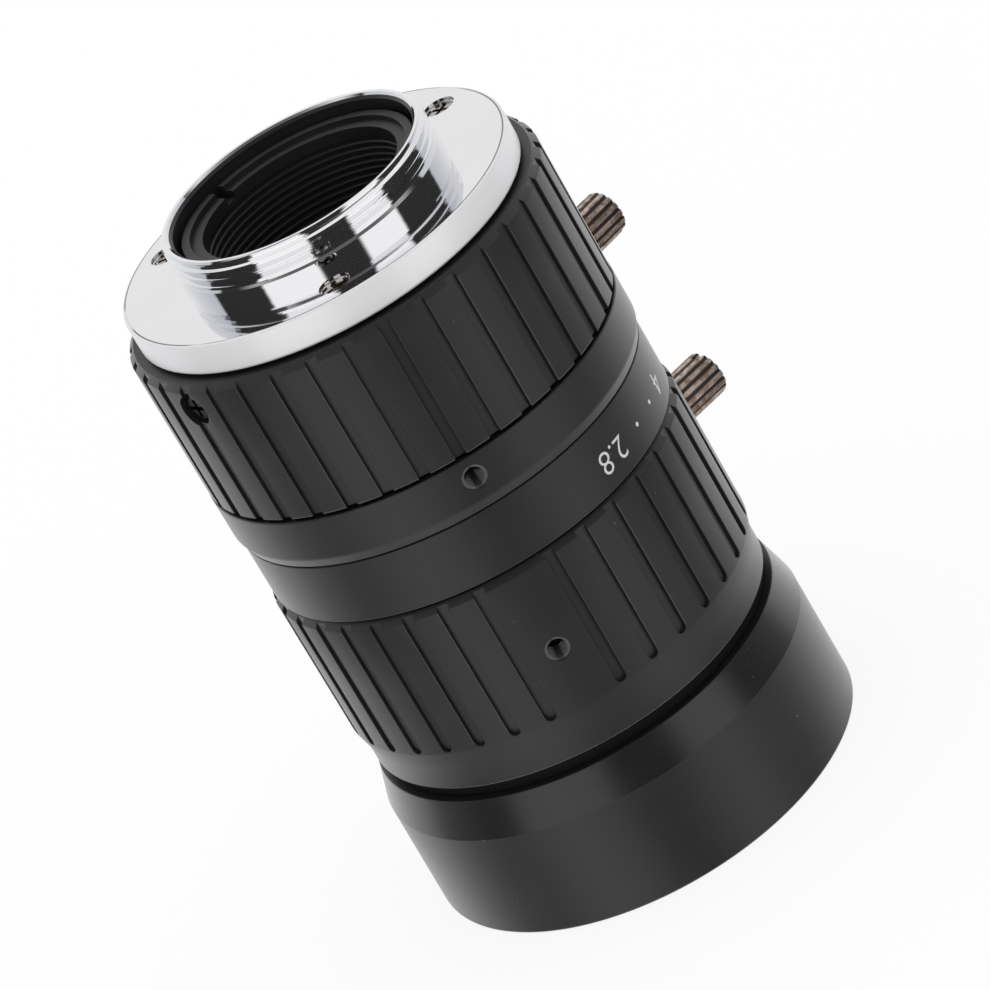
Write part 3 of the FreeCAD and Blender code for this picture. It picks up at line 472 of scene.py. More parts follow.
# browned brass with painted shade in its knurl grooves; both lock screws share it
def lockFinish():
    look = {"dark": (0.055, 0.045, 0.045), "brown": (0.32, 0.22, 0.16), "light": (0.62, 0.52, 0.46),
            "rough": 0.3, "metal": 0.85, "grooveDepth": 0.13, "endRim": 0.4}
    f = Finish("brownedBrass")
    apart = None
    for ring in (band, apertureRing):
        a = math.radians(ring["tapAzimuth"])
        distance = f.length(f.y * math.cos(a) - f.x * math.sin(a), f.z - ring["tapLevel"] * mm)
        apart = f.maths("MINIMUM", apart, distance) if apart else distance
    groove, rim = lockScrew["headRadius"] - look["grooveDepth"], lockScrew["headRadius"] - look["endRim"]
    # painted shade: the colour turns to look["dark"] at the floors of the knurl grooves, measured by the
    # distance from each screw's axis
    outsideGrooveShade = f.ramp(apart, groove * mm, (groove + 0.1) * mm) + 1 - f.ramp(apart, rim * mm, (rim + 0.15) * mm)
    cloud = f.noise(f.at, 1500, 3)
    lit = f.mixed(f.ramp(cloud, 0.35, 0.65), look["brown"], look["light"])
    return f.surface(colour=f.mixed(outsideGrooveShade, look["dark"], lit), metal=look["metal"],
                     rough=look["rough"] + cloud * 0.15, normal=f.bump(cloud, 0.01 * mm))


def glassFinish():
    look = {"colour": (0.93, 0.97, 0.96, 1), "ior": 1.6, "film": 430.0, "filmIor": 1.38}
    f = Finish("coatedGlass")
    return f.surface(rough=0.004 + f.noise(f.at, 500, 2) * 0.006, clear=1.0, **look)


def paintFinish():
    f = Finish("whiteFilledMarks")
    worn = f.noise(f.at, 3000, 3)
    return f.surface(colour=f.mixed(worn, (0.45, 0.45, 0.45), (0.7, 0.7, 0.7)), rough=0.5 + worn * 0.1)


# gives a piece its finish (by default the one of its slot), hangs it on the body it moves with and hides the
# CAD nodes it stands for
def fitted(piece, body, slotName, nodes=(), finish=None):
    piece.data.materials.clear()
    piece.data.materials.append(finish or finishes[slotName])
    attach(piece, body)
    if nodes:
        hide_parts(*nodes)


# mount flange with its 32-per-inch thread, a plain foot under it and three countersunk holes
mount = {"threadPitch": 25.4 / 32, "threadCrest": 12.7, "threadDepth": 0.46, "runOut": 0.5,
         "plainFoot": 1.2, "tipChamfer": 0.35, "boreRadius": 11.6, "boreMouth": 0.45,
         "flangeRadius": 18.6, "flangeThickness": 3.0, "flangeEdge": 0.3, "spigotRadius": 14.9,
         "spigotLength": 1.1}
flangeScrew = {"count": 3, "azimuth": 25, "circle": 15.6, "headRadius": 1.45, "headPlay": 0.04,
               "shankRadius": 0.8, "coneDepth": 0.65, "sink": 0.35, "length": 3.95, "headTurn": 20,
               "crossWidth": 0.42, "crossReach": 0.95, "crossDepth": 0.55, "holeDepth": 6}


def makeFlange():
    m, s = mount, flangeScrew
    tip, crest = seat + mountLength, m["threadCrest"]
    under = seat - m["flangeThickness"]
    foot = under - m["spigotLength"]
    thread = {"pitch": m["threadPitch"], "crest": crest, "depth": -m["threadDepth"],
              "runOut": m["runOut"], "start": (crest, seat + m["plainFoot"]),
              "end": (crest - m["tipChamfer"], tip)}
    piece = turned("mountFlange", [
        (crest - m["tipChamfer"], tip), (m["boreRadius"] + m["boreMouth"], tip, 0.06),
        (m["boreRadius"], tip - m["boreMouth"]), (m["boreRadius"], foot), (m["spigotRadius"], foot),
        (m["spigotRadius"], under), (m["flangeRadius"], under, m["flangeEdge"]),
        (m["flangeRadius"], seat, m["flangeEdge"]), (crest, seat), (crest, seat + m["plainFoot"])],
        360, thread)
    wide, floor, end = s["headRadius"] + s["headPlay"], seat - s["sink"], seat - s["holeDepth"]
    holes = []
    for k in range(s["count"]):
        hole = turned("hole", [
            (0, seat + 1), (wide, seat + 1), (wide, floor), (s["shankRadius"], floor - s["coneDepth"]),
            (s["shankRadius"], end), (0, end)], 48)
        holes.append(moved(hole, around(s["circle"], s["azimuth"] + k * 120)))
    cutAway(piece, holes)
    fitted(piece, "rear_body", "chrome", ["c_mount_flange"])


# cross recess in a screw head whose top is at the given height
def cutCross(screw, s, top):
    reach, half = s["crossReach"], s["crossWidth"] / 2
    for turn in (0, 90):
        arm = block("arm", (-reach, -half, top - s["crossDepth"]), (reach, half, top + 1))
        cutAway(screw, [moved(arm, turnedTo(turn))])


def makeFlangeScrews():
    s = flangeScrew
    top = seat - s["sink"]
    screw = turned("flangeScrews", [
        (0, top), (s["headRadius"] - 0.05, top, 0.08), (s["headRadius"] - 0.03, top - 0.1),
        (s["shankRadius"], top - s["coneDepth"]), (s["shankRadius"], top - s["length"]),
        (0, top - s["length"])], 64)
    cutCross(screw, s, top)
    moved(screw, around(s["circle"], 0) @ turnedTo(s["headTurn"]))
    ringOf(screw, s["count"], s["azimuth"], "bright_steel")
    fitted(screw, "rear_body", "bright_steel", ["flange_screws"])


tap = {"count": 3, "radius": 1.1, "minor": 0.9, "major": 1.14, "pitch": 0.45}


# cutters for a ring's tapped holes; the first stays plain, because a lock screw fills it
def tapCutters(outer, inner, ring):
    cutters = []
    for k in range(tap["count"]):
        minor = tap["minor"] if k else tap["radius"]
        outline = [(0, 1.0), (tap["radius"] + 0.07, 1.0), (tap["radius"] + 0.07, -0.02)]
        z = -0.05
        while z > inner - outer:
            outline += [(tap["major"], z), (tap["major"], z - 0.08), (minor, z - 0.2), (minor, z - 0.29)]
            z -= tap["pitch"]
        outline += [(minor, inner - outer - 0.6), (0, inner - outer - 0.6)]
        cutter = turned("tap", outline, 48)
        cutters.append(moved(cutter, outwards(outer, ring["tapAzimuth"] + 120 * k, ring["tapLevel"])))
    return cutters


bandRear = frontOf("focus_grip") - 0.3
band = {"rear": bandRear, "front": frontOf("rear_barrel"), "radius": 20.05, "edge": 0.14,
        "mouth": 0.95, "mouthDrop": 0.35, "mouthRound": 0.9, "tapAzimuth": 31.6,
        "tapLevel": bandRear - 1.95, "sleeveRadius": 17.7, "bushRadius": 16.2, "webRadius": 14.9,
        "webThickness": 1.5, "screwHole": 0.8, "screwHoleDepth": 4.6}
focusScrew = {"azimuth": 31.3, "drop": 2.5, "count": 2, "radius": 1.0, "headRadius": 1.25,
              "headHeight": 0.8, "recessRadius": 1.6, "recessDepth": 1.25, "bite": 0.9, "swing": 90,
              "play": 0.1, "swingPlay": 4, "crossWidth": 0.38, "crossReach": 0.9, "crossDepth": 0.45}


def makeFixedBarrel():
    b, s = band, focusScrew
    rear = seat - mount["flangeThickness"]
    piece = turned("fixedBarrel", [
        (b["webRadius"], rear), (b["sleeveRadius"], rear), (b["sleeveRadius"], b["rear"]),
        (b["radius"], b["rear"], b["edge"]), (b["radius"], b["front"] + b["mouth"], b["mouthRound"]),
        (b["radius"] - b["mouthDrop"], b["front"], 0.05), (b["bushRadius"], b["front"]),
        (b["bushRadius"], rear - b["webThickness"]), (b["webRadius"], rear - b["webThickness"])], 360)
    cutters = tapCutters(b["radius"], b["bushRadius"], b)
    end = seat - b["screwHoleDepth"]
    for k in range(flangeScrew["count"]):
        hole = turned("hole", [(0, seat), (b["screwHole"], seat), (b["screwHole"], end), (0, end)], 32)
        cutters.append(moved(hole, around(flangeScrew["circle"], flangeScrew["azimuth"] + 120 * k)))
    level, half = rearOf("focus_grip") - s["drop"], s["radius"] + s["play"]
    for k in range(s["count"]):
        start = s["azimuth"] + 180 * k
        cutters.append(sector("swing", b["bushRadius"] - 0.6, b["sleeveRadius"] + 0.6,
                              (start - s["swingPlay"], start + s["swing"] + s["swingPlay"]),
                              (level - half, level + half)))
    cutAway(piece, cutters)
    fitted(piece, "rear_body", "black_barrel", ["rear_barrel"])


ribs = {"count": 36, "radius": 20.0, "floor": 19.55, "width": 1.1, "bevel": 0.05, "bore": 17.75,
        "chamferDrop": 0.65, "chamferLength": 0.6, "edge": 0.12, "columns": 9}


# rows from a ribbed ring's rear face: height, radius, and degrees round the groove's end, None past it
def ribRows(ring):
    rear, front = ring["rear"], ring["front"]
    top, drop, length = ribs["radius"], ribs["chamferDrop"], ribs["chamferLength"]
    low = top - drop
    rows = [(rear, low, 0), (rear - (ribs["floor"] - low) / drop * length, ribs["floor"], 0),
            (rear - length * 0.93, top - drop * 0.07, 0), (rear - length * 1.12, top, 0)]
    if ring["grooveEnd"] is None:
        return rows + [((rear + front) / 2, top, 0), (front + ribs["edge"], top, 0),
                       (front, top - ribs["edge"], 0)]
    centre = ring["grooveEnd"] + ribs["width"] / 2
    reach = ribs["width"] / 2 + ribs["bevel"]
    rows += [((rear + centre) / 2, top, 0), (centre, top, 0)]
    rows += [(centre - reach * math.sin(math.radians(a)), top, a) for a in (15, 30, 45, 60, 75, 90)]
    return rows + [(z, r, None) for z, r in ring["nose"]]


# where a column of a tile meets a row; columns count outwards from the middle of the groove
def ribPoint(ring, column, row, step):
    (kind, share), (z, radius, turn) = column, row
    half, bevel, floor = ribs["width"] / 2, ribs["bevel"], ribs["floor"]
    squeeze = 0.0 if turn is None else math.cos(math.radians(turn))
    if kind in ("floor", "wall") and turn is not None:
        y = share * half * squeeze
        x = min(floor, math.sqrt(radius ** 2 - y ** 2))
        if kind == "wall" and radius >= floor + bevel:
            x = max(x, math.sqrt((radius - bevel) ** 2 - y ** 2))
        if turn:
            z = ring["grooveEnd"] + half - share * half * math.sin(math.radians(turn))
        return x, y, z
    edge = 0.0 if kind == "plain" else math.asin((half + bevel) * squeeze / radius)
    a = edge + (share * (step - edge) if kind in ("rib", "plain") else 0.0)
    return radius * math.cos(a), radius * math.sin(a), z


# one tile of a ribbed ring, with a groove in its middle or plain, open at both sides
def ribTile(name, ring, grooved):
    rows = ribRows(ring)
    step = math.pi / ribs["count"]
    middle, side = ("plain", 0.0), []
    if grooved:
        middle, side = ("floor", 0.0), [("floor", 0.5), ("floor", 1.0), ("wall", 1.0), ("top", 0.0)]
    side += [("rib" if grooved else "plain", k / ribs["columns"]) for k in range(1, ribs["columns"] + 1)]
    columns = [(c, -1) for c in reversed(side)] + [(middle, 1)] + [(c, 1) for c in side]
    points, faces = [], []
    for column, sign in columns:
        spots = [ribPoint(ring, column, row, step) for row in rows]
        points += [(x, sign * y, z) for x, y, z in spots]
        a = math.atan2(sign * spots[0][1], spots[0][0])
        for z in (ring["front"], ring["rear"]):
            points.append((ring["bore"] * math.cos(a), ring["bore"] * math.sin(a), z))
    high = len(rows) + 2
    for i in range(len(columns) - 1):
        inGroove = {columns[i][0][0], columns[i + 1][0][0]} & {"floor", "wall"}
        for j in range(high):
            if inGroove and j < len(rows) and rows[j][2] == 90:
                continue
            k = (j + 1) % high
            faces.append((i * high + j, i * high + k, (i + 1) * high + k, (i + 1) * high + j))
    return newPiece(name, points, faces)


focusRing = {"rear": rearOf("focus_grip"), "front": frontOf("focus_grip"), "bore": ribs["bore"],
             "grooveEnd": None, "grooveAzimuth": 1.3}


def makeFocusRing():
    r, s = focusRing, focusScrew
    piece = ringOf(ribTile("focusRing", r, True), ribs["count"], r["grooveAzimuth"], "black_grip")
    shaft = s["radius"] + 0.02
    cutters = []
    for k in range(s["count"]):
        recess = turned("recess", [
            (0, 2), (s["recessRadius"], 2), (s["recessRadius"], 0), (shaft, 0), (shaft, -2.5),
            (0, -2.5)], 64)
        cutters.append(moved(recess, outwards(ribs["radius"] - s["recessDepth"], s["azimuth"] + 180 * k,
                                              r["rear"] - s["drop"])))
    cutAway(piece, cutters)
    fitted(piece, "focus_ring", "black_grip", ["focus_grip"])


def makeFocusScrews():
    s = focusScrew
    floor = ribs["radius"] - s["recessDepth"]
    end = band["bushRadius"] - 0.05 - s["bite"] - floor
    screw = turned("focusScrews", [
        (0, s["headHeight"]), (s["headRadius"], s["headHeight"], 0.22), (s["headRadius"], 0),
        (s["radius"], 0), (s["radius"], end), (0, end)], 64)
    cutCross(screw, s, s["headHeight"])
    moved(screw, outwards(floor, 0, focusRing["rear"] - s["drop"]))
    ringOf(screw, s["count"], s["azimuth"], "black_screw")
    fitted(screw, "focus_ring", "black_screw", ["focus_screws"])


ringRear, ringFront = rearOf("iris_grip"), frontOf("iris_grip")
apertureRing = {"rear": ringRear, "front": ringFront, "bore": 17.35, "grooveEnd": ringRear - 14.35,
                "tapAzimuth": 27.8, "tapLevel": ringRear - 8.45, "pads": 3,
                "nose": [(ringRear - 14.5, 20.0), (ringRear - 16.5, 19.5), (ringFront + 0.12, 19.5),
                         (ringFront, 19.38)],
                "pinRadius": 0.6, "pinAzimuth": 152, "pinBite": 1.3, "pinLevel": seat - 34.6}


# a plain pad takes the place of every groove that would meet a tapped hole
def makeApertureRing():
    r = apertureRing
    grooved = ringOf(ribTile("grooved", r, True), ribs["count"], r["tapAzimuth"], "black_grip",
                     ribs["count"] // r["pads"])
    plain = ringOf(ribTile("plain", r, False), r["pads"], r["tapAzimuth"], "black_grip")
    piece = clean(joined("apertureRing", [grooved, plain]))
    cutters = tapCutters(ribs["radius"], r["bore"], r)
    pin = turned("pin", [(0, r["pinBite"]), (r["pinRadius"], r["pinBite"]), (r["pinRadius"], -1),
                         (0, -1)], 32)
    cutters.append(moved(pin, outwards(r["bore"], r["pinAzimuth"], r["pinLevel"])))
    cutAway(piece, cutters)
    fitted(piece, "aperture_ring", "black_grip", ["iris_grip"])


barrel = {"rear": rearOf("front_barrel"), "nose": frontOf("front_barrel"), "tubeBore": 13.2,
          "tubeRadius": 14.7, "scaleRadius": 19.7, "scaleRear": frontOf("rear_barrel") - 0.15,
          "scaleFront": ringRear + 0.3, "scaleEdge": 0.1, "coreRadius": 17.3, "noseRadius": 16.3,
          "cellBore": 15.0, "shoulderRadius": 8.6, "shoulderTop": seat - 31.25,
          "shoulderFoot": seat - 32.75, "keyAzimuth": 91.6, "keyWidth": 2.1, "keyDepth": 0.7,
          "keyHeights": (band["tapLevel"] - 1.1, band["tapLevel"] + 5.1), "pinSwing": (149.2, 199.8),
          "pinHalf": 0.7}


def makeMovingBarrel():
    b = barrel
    core = rearOf("stop_ring")
    piece = turned("movingBarrel", [
        (b["tubeBore"], b["rear"]), (b["tubeRadius"], b["rear"]), (b["tubeRadius"], b["scaleRear"]),
        (b["scaleRadius"], b["scaleRear"], b["scaleEdge"]),
        (b["scaleRadius"], b["scaleFront"], b["scaleEdge"]),
        (b["coreRadius"], b["scaleFront"]), (b["coreRadius"], core), (b["noseRadius"], core),
        (b["noseRadius"], b["nose"]), (b["cellBore"], b["nose"]), (b["cellBore"], b["shoulderFoot"]),
        (b["shoulderRadius"], b["shoulderFoot"]), (b["shoulderRadius"], b["shoulderTop"]),
        (b["tubeBore"], b["shoulderTop"])], 360)
    low, high = b["keyHeights"]
    key = block("key", (b["tubeRadius"] - b["keyDepth"], -b["keyWidth"] / 2, low),
                (b["tubeRadius"] + 1, b["keyWidth"] / 2, high))
    level = apertureRing["pinLevel"]
    slot = sector("swing", b["cellBore"] - 0.5, b["coreRadius"] + 0.5, b["pinSwing"],
                  (level - b["pinHalf"], level + b["pinHalf"]))
    cutAway(piece, [moved(key, turnedTo(b["keyAzimuth"])), slot])
    fitted(piece, "front_body", "black_barrel", ["front_barrel"])


# stray-light tube seen in the mount's bore, with fine grooves inside and two spanner slots
tube = {"end": seat + 2.9, "bore": 9.4, "endRadius": 11.2, "lipWidth": 0.8, "lipHeight": 0.5,
        "groovePitch": 0.66, "grooveDepth": 0.14, "ridge": 0.14, "slope": 0.12, "foot": seat - 15.25,
        "neckRadius": 13.2, "neckLength": 3, "bodyRadius": 11.9, "footRadius": 10.2, "footLength": 1.5,
        "slotAzimuth": 125, "slotWidth": 1.1, "slotDepth": 0.7}


# cutters for the two slots that a spanner grips
def spannerSlots(inner, outer, width, low, high):
    slots = []
    for k in range(2):
        slot = block("slot", (inner, -width / 2, low), (outer, width / 2, high))
        slots.append(moved(slot, turnedTo(tube["slotAzimuth"] + 180 * k)))
    return slots


def makeTube():
    t = tube
    floor = t["end"] - t["lipHeight"]
    neck, neckEnd = barrel["rear"], barrel["rear"] - t["neckLength"]
    step = t["foot"] + t["footLength"]
    outline = [(t["endRadius"] - t["lipWidth"], floor), (t["endRadius"] - t["lipWidth"], t["end"], 0.06),
               (t["endRadius"], t["end"], 0.08), (t["endRadius"], neck), (t["neckRadius"], neck),
               (t["neckRadius"], neckEnd), (t["bodyRadius"], neckEnd), (t["bodyRadius"], step),
               (t["footRadius"], step), (t["footRadius"], t["foot"])]
    z, deep = t["foot"], t["bore"] + t["grooveDepth"]
    while z + t["groovePitch"] < floor - 0.6:
        outline += [(t["bore"], z), (t["bore"], z + t["ridge"]), (deep, z + t["ridge"] + t["slope"]),
                    (deep, z + t["groovePitch"] - t["slope"])]
        z += t["groovePitch"]
    outline += [(t["bore"], z), (t["bore"], floor, 0.08)]
    piece = turned("strayLightTube", outline, 256)
    cutAway(piece, spannerSlots(t["bore"] - 1, t["endRadius"] + 1, t["slotWidth"],
                                floor - t["slotDepth"], t["end"] + 1))
    fitted(piece, "front_body", "flat_black", ["baffle_tube"])


hood = {"rear": rearOf("hood"), "front": frontOf("hood"), "bore": 16.3, "rearRadius": 19.7,
        "shoulderRadius": 20.72, "radius": 20.82, "coneLength": 3.6, "edge": 0.28, "rim": 0.3,
        "mouthRadius": 19.23, "mouthLength": 2.2, "threadDepth": 0.36, "threadPitch": 0.75,
        "throatRadius": 18.92, "lipRadius": 14.2, "lipThickness": 1.0, "steps": 9, "stepDepth": 0.22,
        "gloss": (seat - 53.0, seat - 49.4, 0.27)}  # the cone is smoother: from, to, roughness


# hood with a filter thread in its mouth and a stepped throat
def makeHood():
    h = hood
    nose, mouth, rim = barrel["nose"], h["front"] + h["mouthLength"], h["front"] + h["rim"]
    lip = nose - h["lipThickness"]
    run, rise = h["lipRadius"] - h["throatRadius"], lip - mouth
    outline = [(h["mouthRadius"], mouth - 0.1), (h["mouthRadius"], mouth), (h["throatRadius"], mouth)]
    for k in range(h["steps"]):
        low, high = k / h["steps"], (k + 1) / h["steps"]
        outline += [(h["throatRadius"] + run * low + h["stepDepth"] * (k > 0), mouth + rise * (low + 0.01)),
                    (h["throatRadius"] + run * high, mouth + rise * (high - 0.01))]
    outline += [(h["lipRadius"], lip, 0.05), (h["lipRadius"], nose), (h["bore"], nose),
                (h["bore"], h["rear"]), (h["rearRadius"], h["rear"], 0.1),
                (h["shoulderRadius"], h["rear"] - h["coneLength"], 0.12),
                (h["radius"], h["front"], h["edge"]), (h["mouthRadius"] + 0.2, h["front"], 0.08),
                (h["mouthRadius"], rim)]
    thread = {"pitch": h["threadPitch"], "crest": h["mouthRadius"], "depth": h["threadDepth"],
              "runOut": 0.3, "start": (h["mouthRadius"], rim), "end": (h["mouthRadius"], mouth - 0.1)}
    piece = turned("hoodShell", outline, 360, thread)
    fitted(piece, "front_body", "black_hood", ["hood"])


stopRing = {"rear": rearOf("stop_ring"), "front": frontOf("stop_ring"), "bore": 16.3, "radius": 18.9,
            "edge": 0.08}


# stop ring between the aperture ring and the hood, in a near-black finish that paints the shade of the gap
def makeStopRing():
    r = stopRing
    piece = turned("stopRing", [(r["bore"], r["front"]), (r["radius"], r["front"], r["edge"]),
                                (r["radius"], r["rear"], r["edge"]), (r["bore"], r["rear"])], 256)
    fitted(piece, "front_body", "black_barrel", ["stop_ring"], gapBlack)


frontCell = {"rear": seat - 37.93, "front": frontOf("front_cell"), "radius": 15.0, "edge": 0.12,
             "rearBore": 8.6, "innerBore": 9.6, "innerSeat": seat - 40.73, "outerBore": 12.4,
             "outerSeat": seat - 43.73}
retainer = {"rear": rearOf("front_retainer"), "front": frontOf("front_retainer"), "bore": 11.2,
            "mouth": 0.35, "mouthDepth": 0.8, "edge": 0.06, "slotWidth": 1.3, "slotDepth": 1}


def makeFrontCell():
    c, r = frontCell, retainer
    cell = turned("frontCell", [
        (c["rearBore"], c["rear"]), (c["radius"], c["rear"]), (c["radius"], c["front"]),
        (c["outerBore"], c["front"], c["edge"]), (c["outerBore"], c["outerSeat"]),
        (c["innerBore"], c["outerSeat"]), (c["innerBore"], c["innerSeat"]),
        (c["rearBore"], c["innerSeat"])], 192)
    fitted(cell, "front_body", "flat_black", ["front_cell"])
    ring = turned("frontRetainer", [
        (r["bore"], r["rear"]), (c["outerBore"], r["rear"]), (c["outerBore"], r["front"]),
        (r["bore"] + r["mouth"], r["front"], r["edge"]), (r["bore"], r["front"] + r["mouthDepth"])], 192)
    cutAway(ring, spannerSlots(10, 13, r["slotWidth"], r["front"] - 1, r["front"] + r["slotDepth"]))
    fitted(ring, "front_body", "flat_black", ["front_retainer"])


# heights from the flange's seat; bulge is how much of the curve the rear and front faces have
elements = {
    "rear_glass_outer": {"rim": 10.2, "clear": 9.0, "rear": -15.25, "front": -17.75, "bulge": (1.0, 0.0)},
    "rear_glass_inner": {"rim": 10.2, "clear": 9.0, "rear": -22.25, "front": -24.75, "bulge": (0.0, -0.8)},
    "front_glass_inner": {"rim": 9.6, "clear": 8.6, "rear": -40.73, "front": -43.73, "bulge": (-0.8, 0.0)},
    "front_glass_outer": {"rim": 12.4, "clear": 11.2, "rear": -45.73, "front": -48.13, "bulge": (0.0, 0.6)},
}
glassCurve = 32.0


def makeElement(node, e, steps=14):
    def sag(r):
        return glassCurve - math.sqrt(glassCurve ** 2 - r ** 2)

    def face(level, bulge):
        radii = [e["clear"] * k / steps for k in range(steps + 1)]
        return [(r, seat + level + bulge * (sag(e["clear"]) - sag(r))) for r in radii]

    rim = [(e["rim"], seat + e["rear"], 0.06), (e["rim"], seat + e["front"], 0.06)]
    outline = face(e["rear"], e["bulge"][0]) + rim + face(e["front"], -e["bulge"][1])[::-1]
    piece = turned(node.replace("_", "") + "Lens", outline, 128)
    fitted(piece, "front_body", "glass", [node])


lockScrew = {"headRadius": 2.2, "headLength": 6.1, "foot": 0.2, "dome": 0.42, "knurls": 16,
             "knurlRadius": 0.26, "slotWidth": 0.9, "slotDepth": 1.0, "shankRadius": 1.05,
             "pitch": 0.45, "threadDepth": 0.16, "stand": 0.65, "tipClear": 0.35}


# one groove of a lock screw's knurled head, from its foot at height zero up to its dome
def knurlTile():
    s = lockScrew
    step = math.pi / s["knurls"]
    columns = []
    for a in range(-66, 67, 22):
        y = s["knurlRadius"] * math.sin(math.radians(a))
        x = s["headRadius"] + s["knurlRadius"] * (0.4 - math.cos(math.radians(a)))
        columns.append((math.hypot(x, y), math.atan2(y, x)))
    edge = columns[-1][1]
    side = [(s["headRadius"], edge + (step - edge) * k / 3) for k in (0.4, 2, 3)]
    columns = [(r, -a) for r, a in reversed(side)] + columns + side
    top = s["headLength"]
    rows = [(0.0, 0.0), (0.0, 1 - s["foot"] / s["headRadius"]), (s["foot"], 1.0), (top / 2, 1.0)]
    for a in (0, 22.5, 45, 67.5, 90):
        fall, shrink = (s["dome"] * (1 - f(math.radians(a))) for f in (math.sin, math.cos))
        rows.append((top - fall, 1 - shrink / s["headRadius"]))
    rows.append((top, 0.0))
    points = [(r * k * math.cos(a), r * k * math.sin(a), z) for r, a in columns for z, k in rows]
    high = len(rows)
    faces = []
    for i in range(len(columns) - 1):
        for j in range(high - 1):
            a = i * high + j
            faces.append((a, a + 1, a + high + 1, a + high))
    return newPiece("knurl", points, faces)


# screw in a ring's tapped hole, from the ring's outer radius down to the barrel that it presses
def makeLockScrew(name, node, body, outer, pressed, ring, slotTurn):
    s = lockScrew
    head = ringOf(knurlTile(), s["knurls"], 0, "bronze")
    top, width = s["headLength"], s["headRadius"] + 1.3
    slot = block("slot", (-width, -s["slotWidth"] / 2, top - s["slotDepth"]),
                 (width, s["slotWidth"] / 2, top + 1))
    cutAway(head, [slot])
    base = outer + s["stand"]
    reach = pressed + s["tipClear"] - base
    radius, low, high = s["shankRadius"], reach + 0.2, -0.35
    thread = {"pitch": s["pitch"], "crest": radius, "depth": -s["threadDepth"], "runOut": 0.2,
              "start": (radius - 0.15, low), "end": (radius, high)}
    shank = turned("shank", [(radius, high), (radius, 0.3), (0, 0.3), (0, reach),
                             (radius - 0.3, reach), (radius - 0.15, low)], 48, thread)
    piece = smoothed(joined(name, [head, shank]), 32)
    moved(piece, outwards(base, ring["tapAzimuth"], ring["tapLevel"]) @ turnedTo(slotTurn))
    fitted(piece, body, "bronze", [node])


# aperture numbers and index dots, painted a hair proud of the scale band
marks = {"numbers": {"2.8": (-53.5, 3.4), "4": (-22.3, 1.5)}, "dots": (-41.1, -31.6), "dotRadius": 0.21,
         "top": seat - 27.7, "foot": seat - 25.6, "dotLevel": seat - 26.6, "proud": 0.012}


def wrapped(piece, azimuth, low):
    for v in piece.data.vertices:
        x, y, z = (c / mm for c in v.co)
        a = math.radians(azimuth) - x / barrel["scaleRadius"]
        r = barrel["scaleRadius"] + z
        v.co = Vector((r * math.cos(a), r * math.sin(a), low - y)) * mm
    return piece


def numberMesh(text, width):
    curve = bpy.data.curves.new("number", "FONT")
    curve.body = text
    curve.extrude = 0.5
    curve.offset = -0.01
    letter = shown("number", curve)
    mesh = bpy.data.meshes.new_from_object(letter.evaluated_get(bpy.context.evaluated_depsgraph_get()))
    bpy.data.objects.remove(letter)
    xs = [v.co.x for v in mesh.vertices]
    ys = [v.co.y for v in mesh.vertices]
    tall = marks["foot"] - marks["top"]
    for v in mesh.vertices:
        v.co.x = ((v.co.x - min(xs)) / (max(xs) - min(xs)) - 0.5) * width * mm
        v.co.y = (v.co.y - min(ys)) / (max(ys) - min(ys)) * tall * mm
        v.co.z = v.co.z * 2 * marks["proud"] * mm
    work = bmesh.new()
    work.from_mesh(mesh)
    bmesh.ops.remove_doubles(work, verts=work.verts, dist=1e-7)
    for k in range(-8, 9):  # narrow strips, so that the flat figures can bend round the band
        geometry = work.verts[:] + work.edges[:] + work.faces[:]
        bmesh.ops.bisect_plane(work, geom=geometry, plane_co=(k * 0.25 * mm, 0, 0), plane_no=(1, 0, 0))
    bmesh.ops.triangulate(work, faces=work.faces)
    work.to_mesh(mesh)
    work.free()
    return shown("number", mesh)


def makeMarks():
    pieces = []
    for text, (azimuth, width) in marks["numbers"].items():
        pieces.append(wrapped(numberMesh(text, width), azimuth, marks["foot"]))
    for azimuth in marks["dots"]:
        dot = turned("dot", [(0, marks["proud"]), (marks["dotRadius"], marks["proud"]),
                             (marks["dotRadius"], -marks["proud"]), (0, -marks["proud"])], 32)
        pieces.append(wrapped(dot, azimuth, marks["dotLevel"]))
    piece = clean(joined("apertureMarks", pieces))
    fitted(piece, "front_body", "", finish=marksPaint)


finishes = {
    "chrome": chromeFinish(),
    "bright_steel": metalFinish("brightSteel", (0.3, 0.27, 0.25), (0.62, 0.57, 0.52), 0.1),
    "black_barrel": anodised("blackBarrel", band),
    "black_grip": anodised("blackGrip", apertureRing, rough=0.48),
    "black_hood": anodised("blackHood", rough=0.44, gloss=hood["gloss"]),
    "flat_black": anodised("mattBlack", rough=0.5, dustFrom=0.9),
    "black_screw": metalFinish("blackScrew", (0.035, 0.035, 0.037), (0.06, 0.06, 0.062), 0.3),
    "brass_bush": metalFinish("turnedBrass", (0.5, 0.36, 0.16), (0.64, 0.49, 0.25), 0.24),
    "bronze": lockFinish(),
    "blade_steel": metalFinish("blackenedBlades", (0.03, 0.03, 0.032), (0.055, 0.055, 0.06), 0.32),
    "glass": glassFinish(),
}
marksPaint = paintFinish()
# painted shade: a near-black, barely reflecting finish for the stop ring that stands in for the shade in the
# gap before the hood
gapBlack = anodised("gapBlack", dark=(0.002,) * 3, light=(0.003,) * 3, rough=0.7, ior=1.3, rimLight=0,
                    dust=0, worn=(0.01,) * 3)
print("finishes made:", len(finishes))

